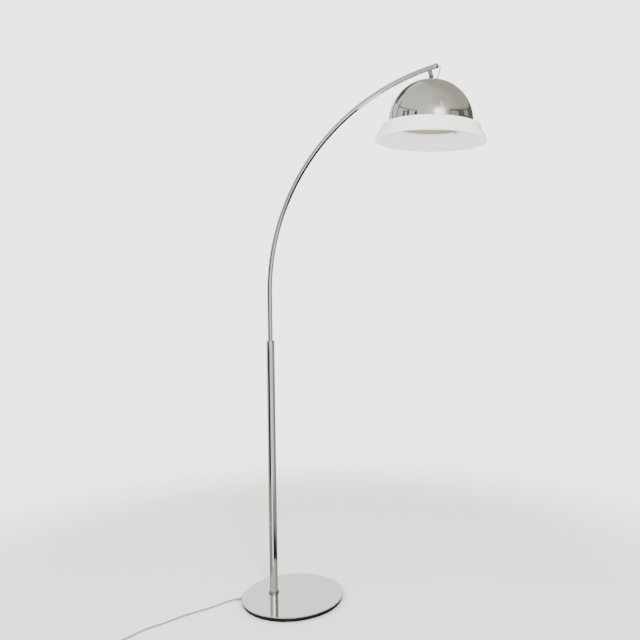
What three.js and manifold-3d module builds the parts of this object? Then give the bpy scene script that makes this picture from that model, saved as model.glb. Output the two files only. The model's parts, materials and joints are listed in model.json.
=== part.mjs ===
// Arc floor lamp: a weighted round base, an upright pole, a bent arm that turns in the pole, and a
// domed shade with an opal skirt that hangs from the arm on a ball joint. The mains lead has a foot
// switch and is wound up beside the lamp. Millimetres, +Z up, origin under the middle of the base,
// +X towards the shade.

import * as THREE from 'three';
import { mergeVertices } from 'three/addons/utils/BufferGeometryUtils.js';
import Module from 'manifold-3d';

const wasm = await Module();
wasm.setup();

// ---- driving dimensions -------------------------------------------------------------------------

const GAP = 0.3; // between touching pieces
const FACET_DIP = 0.5; // how far the dome's flat facets dip inside its true sphere

// base
const PAD_RADIUS = 176;
const PAD_HEIGHT = 2.2;
const WEIGHT_RADIUS = 181.5;
const WEIGHT_TOP = 13.7;
const COVER_RADIUS = 184;
const COVER_THICKNESS = 3.4;
const CHANNEL_WIDTH = 8; // for the lead, in the underside of the weight
const CHANNEL_DEPTH = 8;
const LEAD_HOLE_RADIUS = 6;
const SCREW_CIRCLE_RADIUS = 9.3;
const SCREW_RADIUS = 2;
const SCREW_HEAD_RADIUS = 3.8;
const SCREW_COUNT = 3;
const SCREW_TOP = 45; // of the screws that go up into the pole's foot
const INSERT_TOP = 60; // of the pole's foot insert

// pole
const POLE_X = -74.4;
const POLE_RADIUS = 15;
const POLE_WALL = 1.5;
const POLE_TOP = 940;
const BUSH_DEPTH = 45; // of the bush that guides the arm in the pole's top
const STOP_HEIGHT = 20; // of the ring in the pole that the arm stands on

// arm
const ARM_RADIUS = 9;
const ARM_WALL = 1.5;
const ARM_BOTTOM = 640.5;
const BEND_START = 1115.6;
const BEND_RADIUS = 811.8;
const BEND_ANGLE = THREE.MathUtils.degToRad(78.43);
const STEM_BACK = 29; // from the arm's open end to the stem's axis
const STEM_LENGTH = 34; // from the arm's axis to the ball's centre
const STEM_RADIUS = 7.8;
const STEM_BOLT_RADIUS = 3; // screwed through the arm's wall into the saddle nut

// ball joint
const BALL_RADIUS = 5.2;
const LINER_RADIUS = 6.3;
const CAVITY_RADIUS = 6.6;
const LIP_DEPTH = 2; // how far the retaining cap reaches below the ball's centre
const NECK_RADIUS = 2.4;

// shade, measured down from the ball's centre along the shade's axis
const SHADE_LEAN = THREE.MathUtils.degToRad(1.85); // towards the pole
const SHADE_SWAY = THREE.MathUtils.degToRad(-0.5); // sideways
const DOME_RADIUS = 148.3;
const DOME_WALL = 1.2;
const DOME_DROP = 8.5; // ball centre to the top of the dome
const DOME_COLLAR = 14.3; // straight band below the half sphere
const LEAD_OFFSET = 18; // lead's hole from the top of the dome
const SKIRT_HEIGHT = 56.5;
const SKIRT_WALL = 3;
const SKIRT_RIM_RADIUS = 195;
const SHOULDER_RADIUS = 174.2;
const SHOULDER_ROUND = 8;
const FLANGE_RADIUS = 134; // inner edge of the skirt's flat top
const CLIP_COUNT = 3;
const CLIP_RADIUS = 140;

// leads
const CORD_RADIUS = 2.5;
const FLEX_RADIUS = 2.1;
const CORD_ANGLE = THREE.MathUtils.degToRad(207); // way out of the base, seen from above
const CORD_HEIGHT = 6.5; // of the lead's axis where it leaves the base
const EDGE_DISTANCE = 111.6; // pole's axis to the weight's edge along the channel

// foot switch, lead coil and plug, which lie on the floor
const SWITCH_AT = new THREE.Vector3(-452, -500, 0);
const SWITCH_LENGTH = 64;
const SWITCH_WIDTH = 42;
const SWITCH_CORD_HEIGHT = 11; // of the lead's axis at the switch
const NOZZLE_LENGTH = 5;
const BUTTON_RADIUS = 12.2;
const COIL_AT = new THREE.Vector3(-365, -505, 0);
const COIL_INNER = 20;
const COIL_OUTER = 35.5;
const COIL_BOTTOM = 0.9;
const COIL_TOP = 16.4;
const PLUG_AT = new THREE.Vector3(-312, -484, 7);
const PLUG_LENGTH = 35;
const PIN_SPACING = 18.6;

// Free lead, from the base's strain relief to the foot switch.
const CORD_ROUTE = [
  [-167.1, -47.2, 6.5], [-181.3, -54.4, 6.5], [-197, -62.4, 6.5], [-206, -67.2, 5.7], [-216, -74, 3.8],
  [-225.5, -83, 2.7], [-235, -97, 2.6], [-246, -116, 2.6], [-263, -140, 2.6], [-284, -165, 2.6],
  [-305, -190, 2.6], [-325, -216, 2.6], [-342, -245, 2.6], [-358, -273, 2.6], [-374, -295, 2.6],
  [-390, -316, 2.6], [-406, -347, 2.6], [-419, -382, 2.6], [-431, -409, 2.8], [-442, -431, 5.2],
  [-450, -448, 9.8], [-452, -462.2, 11],
];
// From the foot switch to the coil.
const TAIL_ROUTE = [
  [-452, -537.8, 11], [-450.6, -549, 9.6], [-445, -560, 5.4], [-435, -568, 2.9], [-421, -571, 2.6],
  [-405, -567, 2.6], [-385, -558, 2.6], [-366, -548.3, 2.6], [-348.6, -540.3, 2.6],
];
// From the coil to the plug.
const PLUG_ROUTE = [
  [-331.6, -524.4, 9.5], [-326, -514.5, 8], [-320, -505, 6.9], [-315.4, -497.6, 6.6],
  [-312.8, -491, 6.8], [-312, -484.4, 7],
];
// Lead outside the arm, from its open end to the top of the dome.
const LOOP_ROUTE = [
  [568.8, 0, 1910], [574.7, 0, 1911.2], [579.3, 0, 1911.8], [583.2, 0, 1909.2], [585.4, 0, 1904],
  [585.3, 0, 1896.5], [583, 0, 1888.5], [579.6, 0, 1880.5], [576.2, 0, 1872.9], [573.4, 0, 1865.2],
];
// Lead inside the dome, from its top to the lamp holder, in the shade's own frame.
const HOLDER_ROUTE = [
  [18.35, 0, -7.3], [17.9, 0, -11.5], [16.8, 0, -17], [13.4, 0, -23.6], [8, 0, -28.6],
  [3.2, 0, -32.6], [0.5, 0, -37.4], [0, 0, -42], [0, 0, -49],
];

// ---- finishes -----------------------------------------------------------------------------------

const finish = (color, roughness, metalness = 0) =>
  new THREE.MeshStandardMaterial({ color, roughness, metalness });

const chrome = finish(0xd4d5d0, 0.08, 1);
const blackIron = finish(0x121212, 0.5, 0.3);
const blackRubber = finish(0x1a1a1a, 0.8);
const felt = finish(0x26282a, 0.95);
const zincSteel = finish(0xa9acaa, 0.35, 1);
const nylon = finish(0xe6e2d6, 0.5);
const opalAcrylic = finish(0xf1f1ee, 0.12);
const clearFlex = finish(0xb5a98f, 0.3);
const ivoryPlastic = finish(0xe3dfd2, 0.4);
const bakelite = finish(0x17120f, 0.35);
const ceramic = finish(0xf2efe6, 0.3);
const brass = finish(0xc9a04e, 0.3, 1);
const bulbGlass = finish(0xf6f4ee, 0.2);

// ---- shape helpers ------------------------------------------------------------------------------

// A closed geometry as a solid that can be joined and cut.
function solidOf(geometry) {
  const bare = geometry.clone();
  bare.deleteAttribute('normal');
  bare.deleteAttribute('uv');
  const merged = mergeVertices(bare, 1e-4);
  return new wasm.Manifold(new wasm.Mesh({
    numProp: 3,
    vertProperties: merged.attributes.position.array,
    triVerts: new Uint32Array(merged.index.array),
  }));
}

function geometryOf(solid) {
  const { vertProperties, triVerts } = solid.getMesh();
  const geometry = new THREE.BufferGeometry();
  geometry.setAttribute('position', new THREE.BufferAttribute(vertProperties, 3));
  geometry.setIndex(new THREE.BufferAttribute(triVerts, 1));
  geometry.computeVertexNormals();
  return geometry;
}

const cut = (body, ...tools) =>
  geometryOf(tools.reduce((solid, tool) => solid.subtract(solidOf(tool)), solidOf(body)));

const join = (body, ...others) =>
  geometryOf(others.reduce((solid, other) => solid.add(solidOf(other)), solidOf(body)));

// A profile of [radius, height] pairs turned about Z. It starts and ends on the axis, or is a closed
// loop that the function closes.
function turned(profile, segments = 32) {
  const points = profile.map(([r, z]) => new THREE.Vector2(r, z));
  if (THREE.ShapeUtils.area(points) < 0) points.reverse();
  const onAxis = points.some((p) => p.x === 0);
  const first = onAxis ? points.findIndex((p, i) => p.x === 0 && points.at(i - 1).x === 0) : 0;
  const ordered = [...points.slice(first), ...points.slice(0, first)];
  if (!onAxis) ordered.push(ordered[0].clone());
  return new THREE.LatheGeometry(ordered, segments).rotateX(Math.PI / 2);
}

const disc = (radius, low, high, segments) =>
  turned([[0, low], [radius, low], [radius, high], [0, high]], segments);

const ring = (outer, inner, low, high, segments) =>
  turned([[inner, low], [outer, low], [outer, high], [inner, high]], segments);

// Points along an arc of a profile, with the angle in degrees from the +radius direction.
function arc(r, z, radius, from, to, steps) {
  return Array.from({ length: steps + 1 }, (_, i) => {
    const angle = THREE.MathUtils.degToRad(from + (to - from) * i / steps);
    return [r + radius * Math.cos(angle), z + radius * Math.sin(angle)];
  });
}

const polygon = (radius, sides, phase = 0) => Array.from({ length: sides }, (_, i) => {
  const angle = phase + 2 * Math.PI * i / sides;
  return new THREE.Vector2(radius * Math.cos(angle), radius * Math.sin(angle));
});

const prism = (outline, depth) =>
  new THREE.ExtrudeGeometry(new THREE.Shape(outline), { depth, bevelEnabled: false });

// A straight-sided plate between two heights.
const plate = (outline, low, high) => prism(outline, high - low).translate(0, 0, low);

// A rod or tube along a curve.
function swept(curve, radius, sides, steps, bore = 0) {
  const section = new THREE.Shape(polygon(radius, sides));
  if (bore) section.holes.push(new THREE.Path(polygon(bore, sides).reverse()));
  return new THREE.ExtrudeGeometry(section, { steps, extrudePath: curve });
}

const curveThrough = (points) =>
  new THREE.CatmullRomCurve3(points.map((p) => new THREE.Vector3(...p)));

function hexNut(acrossFlats, bore, low, high) {
  const outline = polygon(acrossFlats / Math.sqrt(3), 6);
  return cut(plate(outline, low, high), disc(bore, low - 1, high + 1, 20));
}

// A stadium-shaped outline, long along Y.
function stadium(length, width, steps = 8) {
  const round = width / 2;
  const reach = length / 2 - round;
  return [1, -1].flatMap((side) => Array.from({ length: steps + 1 }, (_, i) => {
    const angle = (side > 0 ? 0 : Math.PI) + Math.PI * i / steps;
    return new THREE.Vector2(round * Math.cos(angle), side * reach + round * Math.sin(angle));
  }));
}

const lamp = new THREE.Group();

function add(name, geometry, material, parent = lamp) {
  const mesh = new THREE.Mesh(geometry, material);
  mesh.name = name;
  parent.add(mesh);
}

function frameAt(position, leanAboutY = 0, leanAboutX = 0) {
  const frame = new THREE.Group();
  frame.position.copy(position);
  frame.rotation.set(leanAboutX, leanAboutY, 0);
  lamp.add(frame);
  return frame;
}

// ---- arm's centreline ---------------------------------------------------------------------------

const STRAIGHT_LENGTH = BEND_START - ARM_BOTTOM;
const ARM_LENGTH = STRAIGHT_LENGTH + BEND_RADIUS * BEND_ANGLE;

// The bend's angle at a distance along the arm from its lower end.
const bendAt = (along) => Math.max(0, along - STRAIGHT_LENGTH) / BEND_RADIUS;

// A point of the arm, moved off its axis towards the outside of the bend.
function armPoint(along, outwards = 0) {
  const bend = bendAt(along);
  const radius = BEND_RADIUS + outwards;
  return new THREE.Vector3(
    POLE_X + BEND_RADIUS - radius * Math.cos(bend),
    0,
    Math.min(ARM_BOTTOM + along, BEND_START) + radius * Math.sin(bend),
  );
}

class ArmLine extends THREE.Curve {
  constructor(from, to, outwards = () => 0) {
    super();
    Object.assign(this, { from, to, outwards });
  }

  getPoint(t) {
    const along = this.from + (this.to - this.from) * t;
    return armPoint(along, this.outwards(along));
  }
}

const STEM_ALONG = ARM_LENGTH - STEM_BACK;
const armEnd = frameAt(armPoint(ARM_LENGTH), BEND_ANGLE);
const stemLean = bendAt(STEM_ALONG) - Math.PI / 2;
const ballCentre = armPoint(STEM_ALONG, -STEM_LENGTH);
const stem = frameAt(ballCentre, stemLean);
const shade = frameAt(ballCentre, SHADE_LEAN, SHADE_SWAY);

// ---- base and pole ------------------------------------------------------------------------------

const WEIGHT_BOTTOM = PAD_HEIGHT + GAP;
const COVER_BOTTOM = WEIGHT_TOP + GAP;
const COVER_TOP = COVER_BOTTOM + COVER_THICKNESS;
const POLE_BOTTOM = COVER_TOP + GAP;
const POLE_BORE = POLE_RADIUS - POLE_WALL;
const INSERT_RADIUS = POLE_BORE - GAP;
const FLEX_BORE = 4.5;

const atPole = (geometry) => geometry.translate(POLE_X, 0, 0);
const alongCord = (distance) => [
  POLE_X + distance * Math.cos(CORD_ANGLE), distance * Math.sin(CORD_ANGLE),
];

const screwPlaces = Array.from({ length: SCREW_COUNT }, (_, i) => {
  const angle = CORD_ANGLE + Math.PI * (2 * i + 1) / SCREW_COUNT;
  return [POLE_X + SCREW_CIRCLE_RADIUS * Math.cos(angle), SCREW_CIRCLE_RADIUS * Math.sin(angle)];
});

const screwHoles = (radius, low, high) =>
  screwPlaces.map(([x, y]) => disc(radius, low, high, 16).translate(x, y, 0));

function addBase() {
  const headRoom = 6.8;
  const channel = new THREE.BoxGeometry(EDGE_DISTANCE + 20, CHANNEL_WIDTH, CHANNEL_DEPTH * 2)
    .translate(EDGE_DISTANCE / 2 + 10, 0, WEIGHT_BOTTOM)
    .rotateZ(CORD_ANGLE)
    .translate(POLE_X, 0, 0);
  const weight = turned([
    [0, WEIGHT_BOTTOM], [WEIGHT_RADIUS - 2, WEIGHT_BOTTOM], [WEIGHT_RADIUS, WEIGHT_BOTTOM + 2],
    [WEIGHT_RADIUS, WEIGHT_TOP], [0, WEIGHT_TOP],
  ], 48);
  const edge = COVER_THICKNESS / 2;
  const cover = turned([
    [0, COVER_BOTTOM],
    ...arc(COVER_RADIUS - edge, COVER_BOTTOM + edge, edge, -90, 90, 3),
    [0, COVER_TOP],
  ], 48);
  const leadHole = atPole(disc(LEAD_HOLE_RADIUS, 5, 30, 20));
  const shanks = screwHoles(SCREW_RADIUS + GAP, 0, 30);
  add('base_pad', disc(PAD_RADIUS, 0, PAD_HEIGHT, 36), felt);
  add('base_weight',
    cut(weight, channel, leadHole, ...shanks, ...screwHoles(SCREW_HEAD_RADIUS + 0.5, 0, headRoom)),
    blackIron);
  add('base_cover', cut(cover, leadHole, ...shanks), chrome);
  screwPlaces.forEach(([x, y], i) => {
    const head = headRoom - GAP;
    const screw = turned([
      [0, head - 3], [SCREW_HEAD_RADIUS, head - 3], [SCREW_HEAD_RADIUS, head],
      [SCREW_RADIUS, head], [SCREW_RADIUS, SCREW_TOP], [0, SCREW_TOP],
    ], 10);
    add(`foot_screw_${i + 1}`, screw.translate(x, y, 0), zincSteel);
  });
}

function addPole() {
  const collar = turned([
    [POLE_RADIUS + GAP, POLE_BOTTOM], [POLE_RADIUS + 3.8, POLE_BOTTOM],
    [POLE_RADIUS + 3.8, POLE_BOTTOM + 4], [POLE_RADIUS + 2.6, POLE_BOTTOM + 5.4],
    [POLE_RADIUS + GAP, POLE_BOTTOM + 5.4],
  ], 24);
  const bushBore = ARM_RADIUS + GAP;
  const topBush = turned([
    [bushBore, POLE_TOP - BUSH_DEPTH], [INSERT_RADIUS, POLE_TOP - BUSH_DEPTH],
    [INSERT_RADIUS, POLE_TOP + GAP], [POLE_RADIUS, POLE_TOP + GAP],
    [POLE_RADIUS, POLE_TOP + 2.2], [bushBore, POLE_TOP + 3],
  ], 20);
  const insert = atPole(ring(INSERT_RADIUS, FLEX_BORE, POLE_BOTTOM, INSERT_TOP, 16));
  add('foot_collar', atPole(collar), chrome);
  add('pole_foot_insert', cut(insert, ...screwHoles(SCREW_RADIUS + GAP, 0, INSERT_TOP + 1)), zincSteel);
  add('pole', atPole(ring(POLE_RADIUS, POLE_BORE, POLE_BOTTOM, POLE_TOP, 28)), chrome);
  add('pole_top_bush', atPole(topBush), chrome);
  const stop = ring(INSERT_RADIUS, FLEX_BORE, ARM_BOTTOM - STOP_HEIGHT, ARM_BOTTOM - GAP, 16);
  add('arm_stop', atPole(stop), nylon);
}

// ---- arm ----------------------------------------------------------------------------------------

function addArm() {
  const bore = ARM_RADIUS - ARM_WALL;
  const tube = swept(new ArmLine(0, ARM_LENGTH), ARM_RADIUS, 12, 40, bore);
  const studHole = disc(STEM_BOLT_RADIUS + GAP, STEM_LENGTH - ARM_RADIUS - 2, STEM_LENGTH, 16)
    .rotateY(stemLean).translate(ballCentre.x, 0, ballCentre.z);
  add('arm_tube', cut(tube, studHole), chrome);
  add('arm_foot_bush',
    atPole(ring(INSERT_RADIUS, ARM_RADIUS + GAP, ARM_BOTTOM + 4, ARM_BOTTOM + 44, 16)), nylon);
  const spigot = bore - GAP;
  const grommet = turned([
    [FLEX_RADIUS + GAP, -9], [spigot - 0.6, -9], [spigot - 0.6, GAP], [ARM_RADIUS + 0.8, GAP],
    [ARM_RADIUS + 0.8, 2.4], [ARM_RADIUS - 0.4, 3.4], [FLEX_RADIUS + GAP, 3.4],
  ], 16);
  add('arm_end_grommet', grommet, blackRubber, armEnd);
}

// The stem, its retaining cap and the saddle nut inside the arm, with the ball's centre at 0.
function addStem() {
  const capTop = LIP_DEPTH * 2;
  const cavity = (low, high) => {
    const angleAt = (z) => THREE.MathUtils.radToDeg(Math.asin(z / CAVITY_RADIUS));
    return arc(0, 0, CAVITY_RADIUS, angleAt(low), angleAt(high), 4);
  };
  const shell = turned([
    [0, CAVITY_RADIUS], ...cavity(capTop + GAP, CAVITY_RADIUS - 0.05).reverse(),
    [STEM_RADIUS, capTop + GAP], [STEM_RADIUS, STEM_LENGTH], [0, STEM_LENGTH],
  ], 20);
  const alongArm = (radius, length) => disc(radius, -length / 2, length / 2, 24)
    .rotateY(Math.PI / 2).translate(0, 0, STEM_LENGTH);
  const stud = disc(STEM_BOLT_RADIUS, STEM_LENGTH - ARM_RADIUS - 4, STEM_LENGTH - 2, 16);
  add('ball_socket', join(cut(shell, alongArm(ARM_RADIUS + GAP, 40)), stud), chrome, stem);

  const lipAngle = THREE.MathUtils.radToDeg(Math.asin(LIP_DEPTH / STEM_RADIUS));
  const cap = turned([
    ...cavity(-LIP_DEPTH, capTop).reverse(), ...arc(0, 0, STEM_RADIUS, -lipAngle, 0, 3),
    [STEM_RADIUS, capTop],
  ], 20);
  add('ball_cap', cap, zincSteel, stem);

  const nut = cut(
    alongArm(ARM_RADIUS - ARM_WALL - GAP - 0.15, 14),
    new THREE.BoxGeometry(30, 30, 20).translate(0, 0, STEM_LENGTH - 2.5 + 10),
    disc(STEM_BOLT_RADIUS + GAP, 0, STEM_LENGTH + 5, 16),
  );
  add('saddle_nut', nut, zincSteel, stem);

  const linerEdge = -23;
  const linerTop = 68;
  const liner = turned([
    ...arc(0, 0, LINER_RADIUS, linerEdge, linerTop, 5),
    ...arc(0, 0, BALL_RADIUS + GAP, linerEdge, linerTop, 5).reverse(),
  ], 16);
  add('ball_liner', liner, nylon, stem);
}

// ---- shade --------------------------------------------------------------------------------------

const DOME_CENTRE = -(DOME_DROP + DOME_RADIUS);
const DOME_EDGE = DOME_CENTRE - DOME_COLLAR;
const FLANGE_TOP = DOME_EDGE - GAP;
const RIM = FLANGE_TOP - SKIRT_HEIGHT;
const STUD_RADIUS = 4;
const WASHER_THICKNESS = 1;
const grommetLean = Math.asin(LEAD_OFFSET / DOME_RADIUS);
const onDome = (geometry) => geometry.rotateY(grommetLean).translate(0, 0, DOME_CENTRE);

function addStud() {
  const neckAngle = -90 + THREE.MathUtils.radToDeg(Math.asin(NECK_RADIUS / BALL_RADIUS));
  const shoulder = -DOME_DROP + GAP;
  const stud = turned([
    [0, BALL_RADIUS], ...arc(0, 0, BALL_RADIUS, 80, neckAngle, 8), [NECK_RADIUS, -6.6],
    [7, shoulder + 1], [7, shoulder], [STUD_RADIUS, shoulder], [STUD_RADIUS, -23], [0, -23],
  ], 16);
  add('ball_stud', stud, chrome, shade);
  const washerTop = -DOME_DROP - DOME_WALL - FACET_DIP - GAP;
  const washer = ring(9, STUD_RADIUS + GAP, washerTop - WASHER_THICKNESS, washerTop, 16);
  add('stud_washer', washer, zincSteel, shade);
  add('stud_nut', hexNut(13, STUD_RADIUS + GAP, -20.2, -14.3), zincSteel, shade);
}

function addDome() {
  const holeAngle = 90 - THREE.MathUtils.radToDeg(Math.asin((STUD_RADIUS + GAP) / DOME_RADIUS));
  const inner = DOME_RADIUS - DOME_WALL;
  const bend = 1.5; // small roll at the lower edge
  const dome = turned([
    [DOME_RADIUS - bend * 0.4, DOME_EDGE], [DOME_RADIUS, DOME_EDGE + bend],
    ...arc(0, DOME_CENTRE, DOME_RADIUS, 0, holeAngle, 10),
    ...arc(0, DOME_CENTRE, inner, 0, holeAngle, 10).reverse(),
    [inner, DOME_EDGE],
  ], 40);
  add('dome', cut(dome, onDome(disc(3.6, DOME_RADIUS - 6, DOME_RADIUS + 6, 16))), chrome, shade);
  const neck = 3.3;
  const lip = 5.5;
  const top = DOME_RADIUS + GAP;
  const under = inner - FACET_DIP - GAP;
  const grommet = turned([
    [FLEX_RADIUS + GAP, under - 1.4], [lip, under - 1.4], [lip, under], [neck, under], [neck, top],
    [lip, top], [lip - 0.8, top + 1.5], [FLEX_RADIUS + GAP, top + 1.5],
  ], 14);
  add('dome_grommet', onDome(grommet), blackRubber, shade);
}

// Outer or inner line of the skirt, from its rim up to the inner edge of its flat top.
function skirtLine(inset) {
  const shoulder = SHOULDER_RADIUS - SHOULDER_ROUND;
  const flare = new THREE.CubicBezierCurve(
    new THREE.Vector2(SKIRT_RIM_RADIUS - inset, 0),
    new THREE.Vector2(SKIRT_RIM_RADIUS - 2.5 - inset, 22),
    new THREE.Vector2(SHOULDER_RADIUS + 1.8 - inset, 35),
    new THREE.Vector2(SHOULDER_RADIUS - inset, SKIRT_HEIGHT - SHOULDER_ROUND),
  ).getPoints(6).slice(0, -1).map((p) => [p.x, RIM + p.y]);
  const bend = arc(shoulder, FLANGE_TOP - SHOULDER_ROUND, SHOULDER_ROUND - inset, 0, 90, 3);
  return [...flare, ...bend, [FLANGE_RADIUS, FLANGE_TOP - inset]];
}

function addSkirt() {
  const skirt = turned([...skirtLine(0), ...skirtLine(SKIRT_WALL).reverse()], 40);
  const clipAngles = Array.from({ length: CLIP_COUNT }, (_, i) => Math.PI * (1 + 2 * i) / CLIP_COUNT);
  const aroundShade = (geometry, angle) => geometry.rotateZ(angle);
  const hole = () => disc(SCREW_RADIUS + GAP, RIM, DOME_CENTRE, 14).translate(CLIP_RADIUS, 0, 0);
  add('skirt', cut(skirt, ...clipAngles.map((angle) => aroundShade(hole(), angle))),
    opalAcrylic, shade);

  const foot = FLANGE_TOP + GAP;
  const back = DOME_RADIUS - DOME_WALL - FACET_DIP - 2 * GAP;
  const angleIron = [
    [CLIP_RADIUS - 5, foot], [back, foot], [back, foot + 12], [back - 1.5, foot + 12],
    [back - 1.5, foot + 1.5], [CLIP_RADIUS - 5, foot + 1.5],
  ].map(([x, z]) => new THREE.Vector2(x, z));
  const head = FLANGE_TOP - SKIRT_WALL - GAP;
  clipAngles.forEach((angle, i) => {
    const clip = prism(angleIron, 14).translate(0, 0, -7).rotateX(Math.PI / 2);
    add(`skirt_clip_${i + 1}`, aroundShade(cut(clip, hole()), angle), zincSteel, shade);
    const screw = turned([
      [0, head - 4], [4.4, head - 4], [5, head - 3.4], [5, head], [SCREW_RADIUS, head],
      [SCREW_RADIUS, head + 10], [0, head + 10],
    ], 10).translate(CLIP_RADIUS, 0, 0);
    add(`skirt_screw_${i + 1}`, aroundShade(screw, angle), chrome, shade);
  });
}

// Bracket and lamp holder, hung under the ball stud, and the lamp in it.
function addHolder() {
  const wide = 16;
  const strip = [
    [9, -13.9], [9, -11.8], [-18, -11.8], [-18, -44], [9, -44], [9, -42], [-16, -42], [-16, -13.9],
  ].map(([x, z]) => new THREE.Vector2(x, z));
  const bracket = prism(strip, wide).translate(0, 0, -wide / 2).rotateX(Math.PI / 2);
  const nipple = 5;
  add('holder_bracket',
    cut(bracket, disc(STUD_RADIUS + GAP, -20, 0, 16), disc(nipple + GAP, -50, -35, 20)),
    zincSteel, shade);
  add('holder_nipple', ring(nipple, 3, -52, -38.4, 14), zincSteel, shade);
  add('holder_nut', hexNut(14, nipple + GAP, -41.7, -38.9), zincSteel, shade);
  add('holder_cap', turned([
    [nipple + GAP, -44.3], [12, -44.3], [18, -50], [19.5, -58], [17, -58], [15.6, -51.6],
    [11, -47], [nipple + GAP, -47],
  ], 18), bakelite, shade);
  add('holder_body', turned([
    [19.6, -58.3], [20.5, -62], [20.5, -91], [19.6, -94], [17.2, -94], [17.2, -58.3],
  ], 18), bakelite, shade);
  add('holder_core', ring(16.8, 2, -65.5, -60, 16), ceramic, shade);
  add('holder_thread', ring(14.9, 14.1, -92, -65.9, 18), brass, shade);
  add('holder_contact', disc(4, -68, -65.9, 12), brass, shade);
  add('bulb_cap', turned([
    [0, -68.4], [4.5, -68.4], [4.5, -70.2], [13, -74], [13, -94.6], [12.3, -94.6], [12.3, -74.6],
    [4, -71], [0, -71],
  ], 18), brass, shade);
  const glass = (inset) => [
    [11.8 - inset, -88], [11.8 - inset, -95.6], [15 - inset, -104], [21.5 - inset, -117],
    [27.6 - inset, -131], [30 - inset, -145], [27.6 - inset, -158.5], [20.6 - inset, -169.6],
    [10.6 - inset, -176.6 + inset], [0, -178.8 + inset],
  ];
  add('bulb_glass', turned([...glass(0), ...glass(0.9).reverse()], 20), bulbGlass, shade);
}

// ---- leads inside the lamp and at its head ------------------------------------------------------

function addFlexes() {
  const [innerX, innerY] = alongCord(EDGE_DISTANCE - 17);
  const [halfX, halfY] = alongCord(50);
  const [bendX, bendY] = alongCord(14);
  const [turnX, turnY] = alongCord(4);
  const upright = curveThrough([
    [innerX, innerY, CORD_HEIGHT], [halfX, halfY, CORD_HEIGHT], [bendX, bendY, CORD_HEIGHT],
    [turnX, turnY, 9], [POLE_X, 0, 19], [POLE_X, 0, 34], [POLE_X, 0, 200], [POLE_X, 0, 420],
    [POLE_X, 0, ARM_BOTTOM - 1.3],
  ]);
  add('pole_flex', swept(upright, FLEX_RADIUS, 8, 40), clearFlex);
  const flexEnd = ARM_LENGTH - 10;
  const overNut = (along) => 3 * Math.min(1, (flexEnd - along) / 8, Math.max(0, along) / 20);
  add('arm_flex', swept(new ArmLine(-1, flexEnd, overNut), FLEX_RADIUS, 8, 40), clearFlex);
  add('lamp_lead', swept(curveThrough(LOOP_ROUTE), FLEX_RADIUS, 8, 20), clearFlex);
  add('holder_lead', swept(curveThrough(HOLDER_ROUTE), FLEX_RADIUS, 8, 16), clearFlex, shade);
}

// ---- mains lead ---------------------------------------------------------------------------------

function addStrainRelief() {
  const bore = CORD_RADIUS + GAP;
  const inChannel = CHANNEL_WIDTH / 2 - 0.4;
  const outside = 1.5; // clear of the rim, which the channel meets at a slant
  const relief = turned([
    [bore, -16], [inChannel, -16], [inChannel, outside], [5.2, outside], [5.2, outside + 2],
    [4.6, outside + 4], [3.5, outside + 24], [bore, outside + 24],
  ], 14);
  const [x, y] = alongCord(EDGE_DISTANCE);
  add('strain_relief',
    relief.rotateY(Math.PI / 2).rotateZ(CORD_ANGLE).translate(x, y, CORD_HEIGHT), clearFlex);
}

function addFootSwitch() {
  const place = (geometry) => geometry.translate(SWITCH_AT.x, SWITCH_AT.y, 0);
  const inset = 2;
  const outside = stadium(SWITCH_LENGTH, SWITCH_WIDTH);
  const inside = stadium(SWITCH_LENGTH - 2 * inset, SWITCH_WIDTH - 2 * inset);
  const floor = cut(plate(outside, 0.2, 6), plate(inside, 2.4, 8));
  add('switch_base', place(floor), ivoryPlastic);

  const low = 6 + GAP;
  const top = 20;
  const chamfered = stadium(SWITCH_LENGTH - 5, SWITCH_WIDTH - 5);
  const nozzle = (side) => disc(4.2, 0, NOZZLE_LENGTH + 4, 16)
    .rotateX(-side * Math.PI / 2)
    .translate(0, side * (SWITCH_LENGTH / 2 - 4), SWITCH_CORD_HEIGHT);
  const shell = join(plate(outside, low, top - 3), plate(chamfered, top - 4, top), nozzle(1), nozzle(-1));
  const buttonHole = plate(polygon(BUTTON_RADIUS + 0.4, 20), 10, 30);
  const cover = cut(shell, plate(inside, low - 1, top - 4.5), buttonHole);
  add('switch_cover', place(cover), ivoryPlastic);

  const flangeTop = top - 4.5 - GAP;
  const button = turned([
    [0, flangeTop - 2], [BUTTON_RADIUS + 1.8, flangeTop - 2], [BUTTON_RADIUS + 1.8, flangeTop],
    [BUTTON_RADIUS, flangeTop], [BUTTON_RADIUS, top + 2.6], [BUTTON_RADIUS - 1.6, top + 4],
    [0, top + 4.6],
  ], 20);
  add('switch_button', place(button), ivoryPlastic);

  const turns = 4;
  const wire = 0.5;
  const height = flangeTop - 2 - GAP - 2 * wire - 3;
  const coilSpring = curveThrough(Array.from({ length: turns * 8 + 1 }, (_, i) => {
    const angle = 2 * Math.PI * i / 8;
    return [6 * Math.cos(angle), 6 * Math.sin(angle), 3 + wire + height * i / (turns * 8)];
  }));
  add('switch_spring', place(swept(coilSpring, wire, 5, turns * 8)), zincSteel);
}

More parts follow.
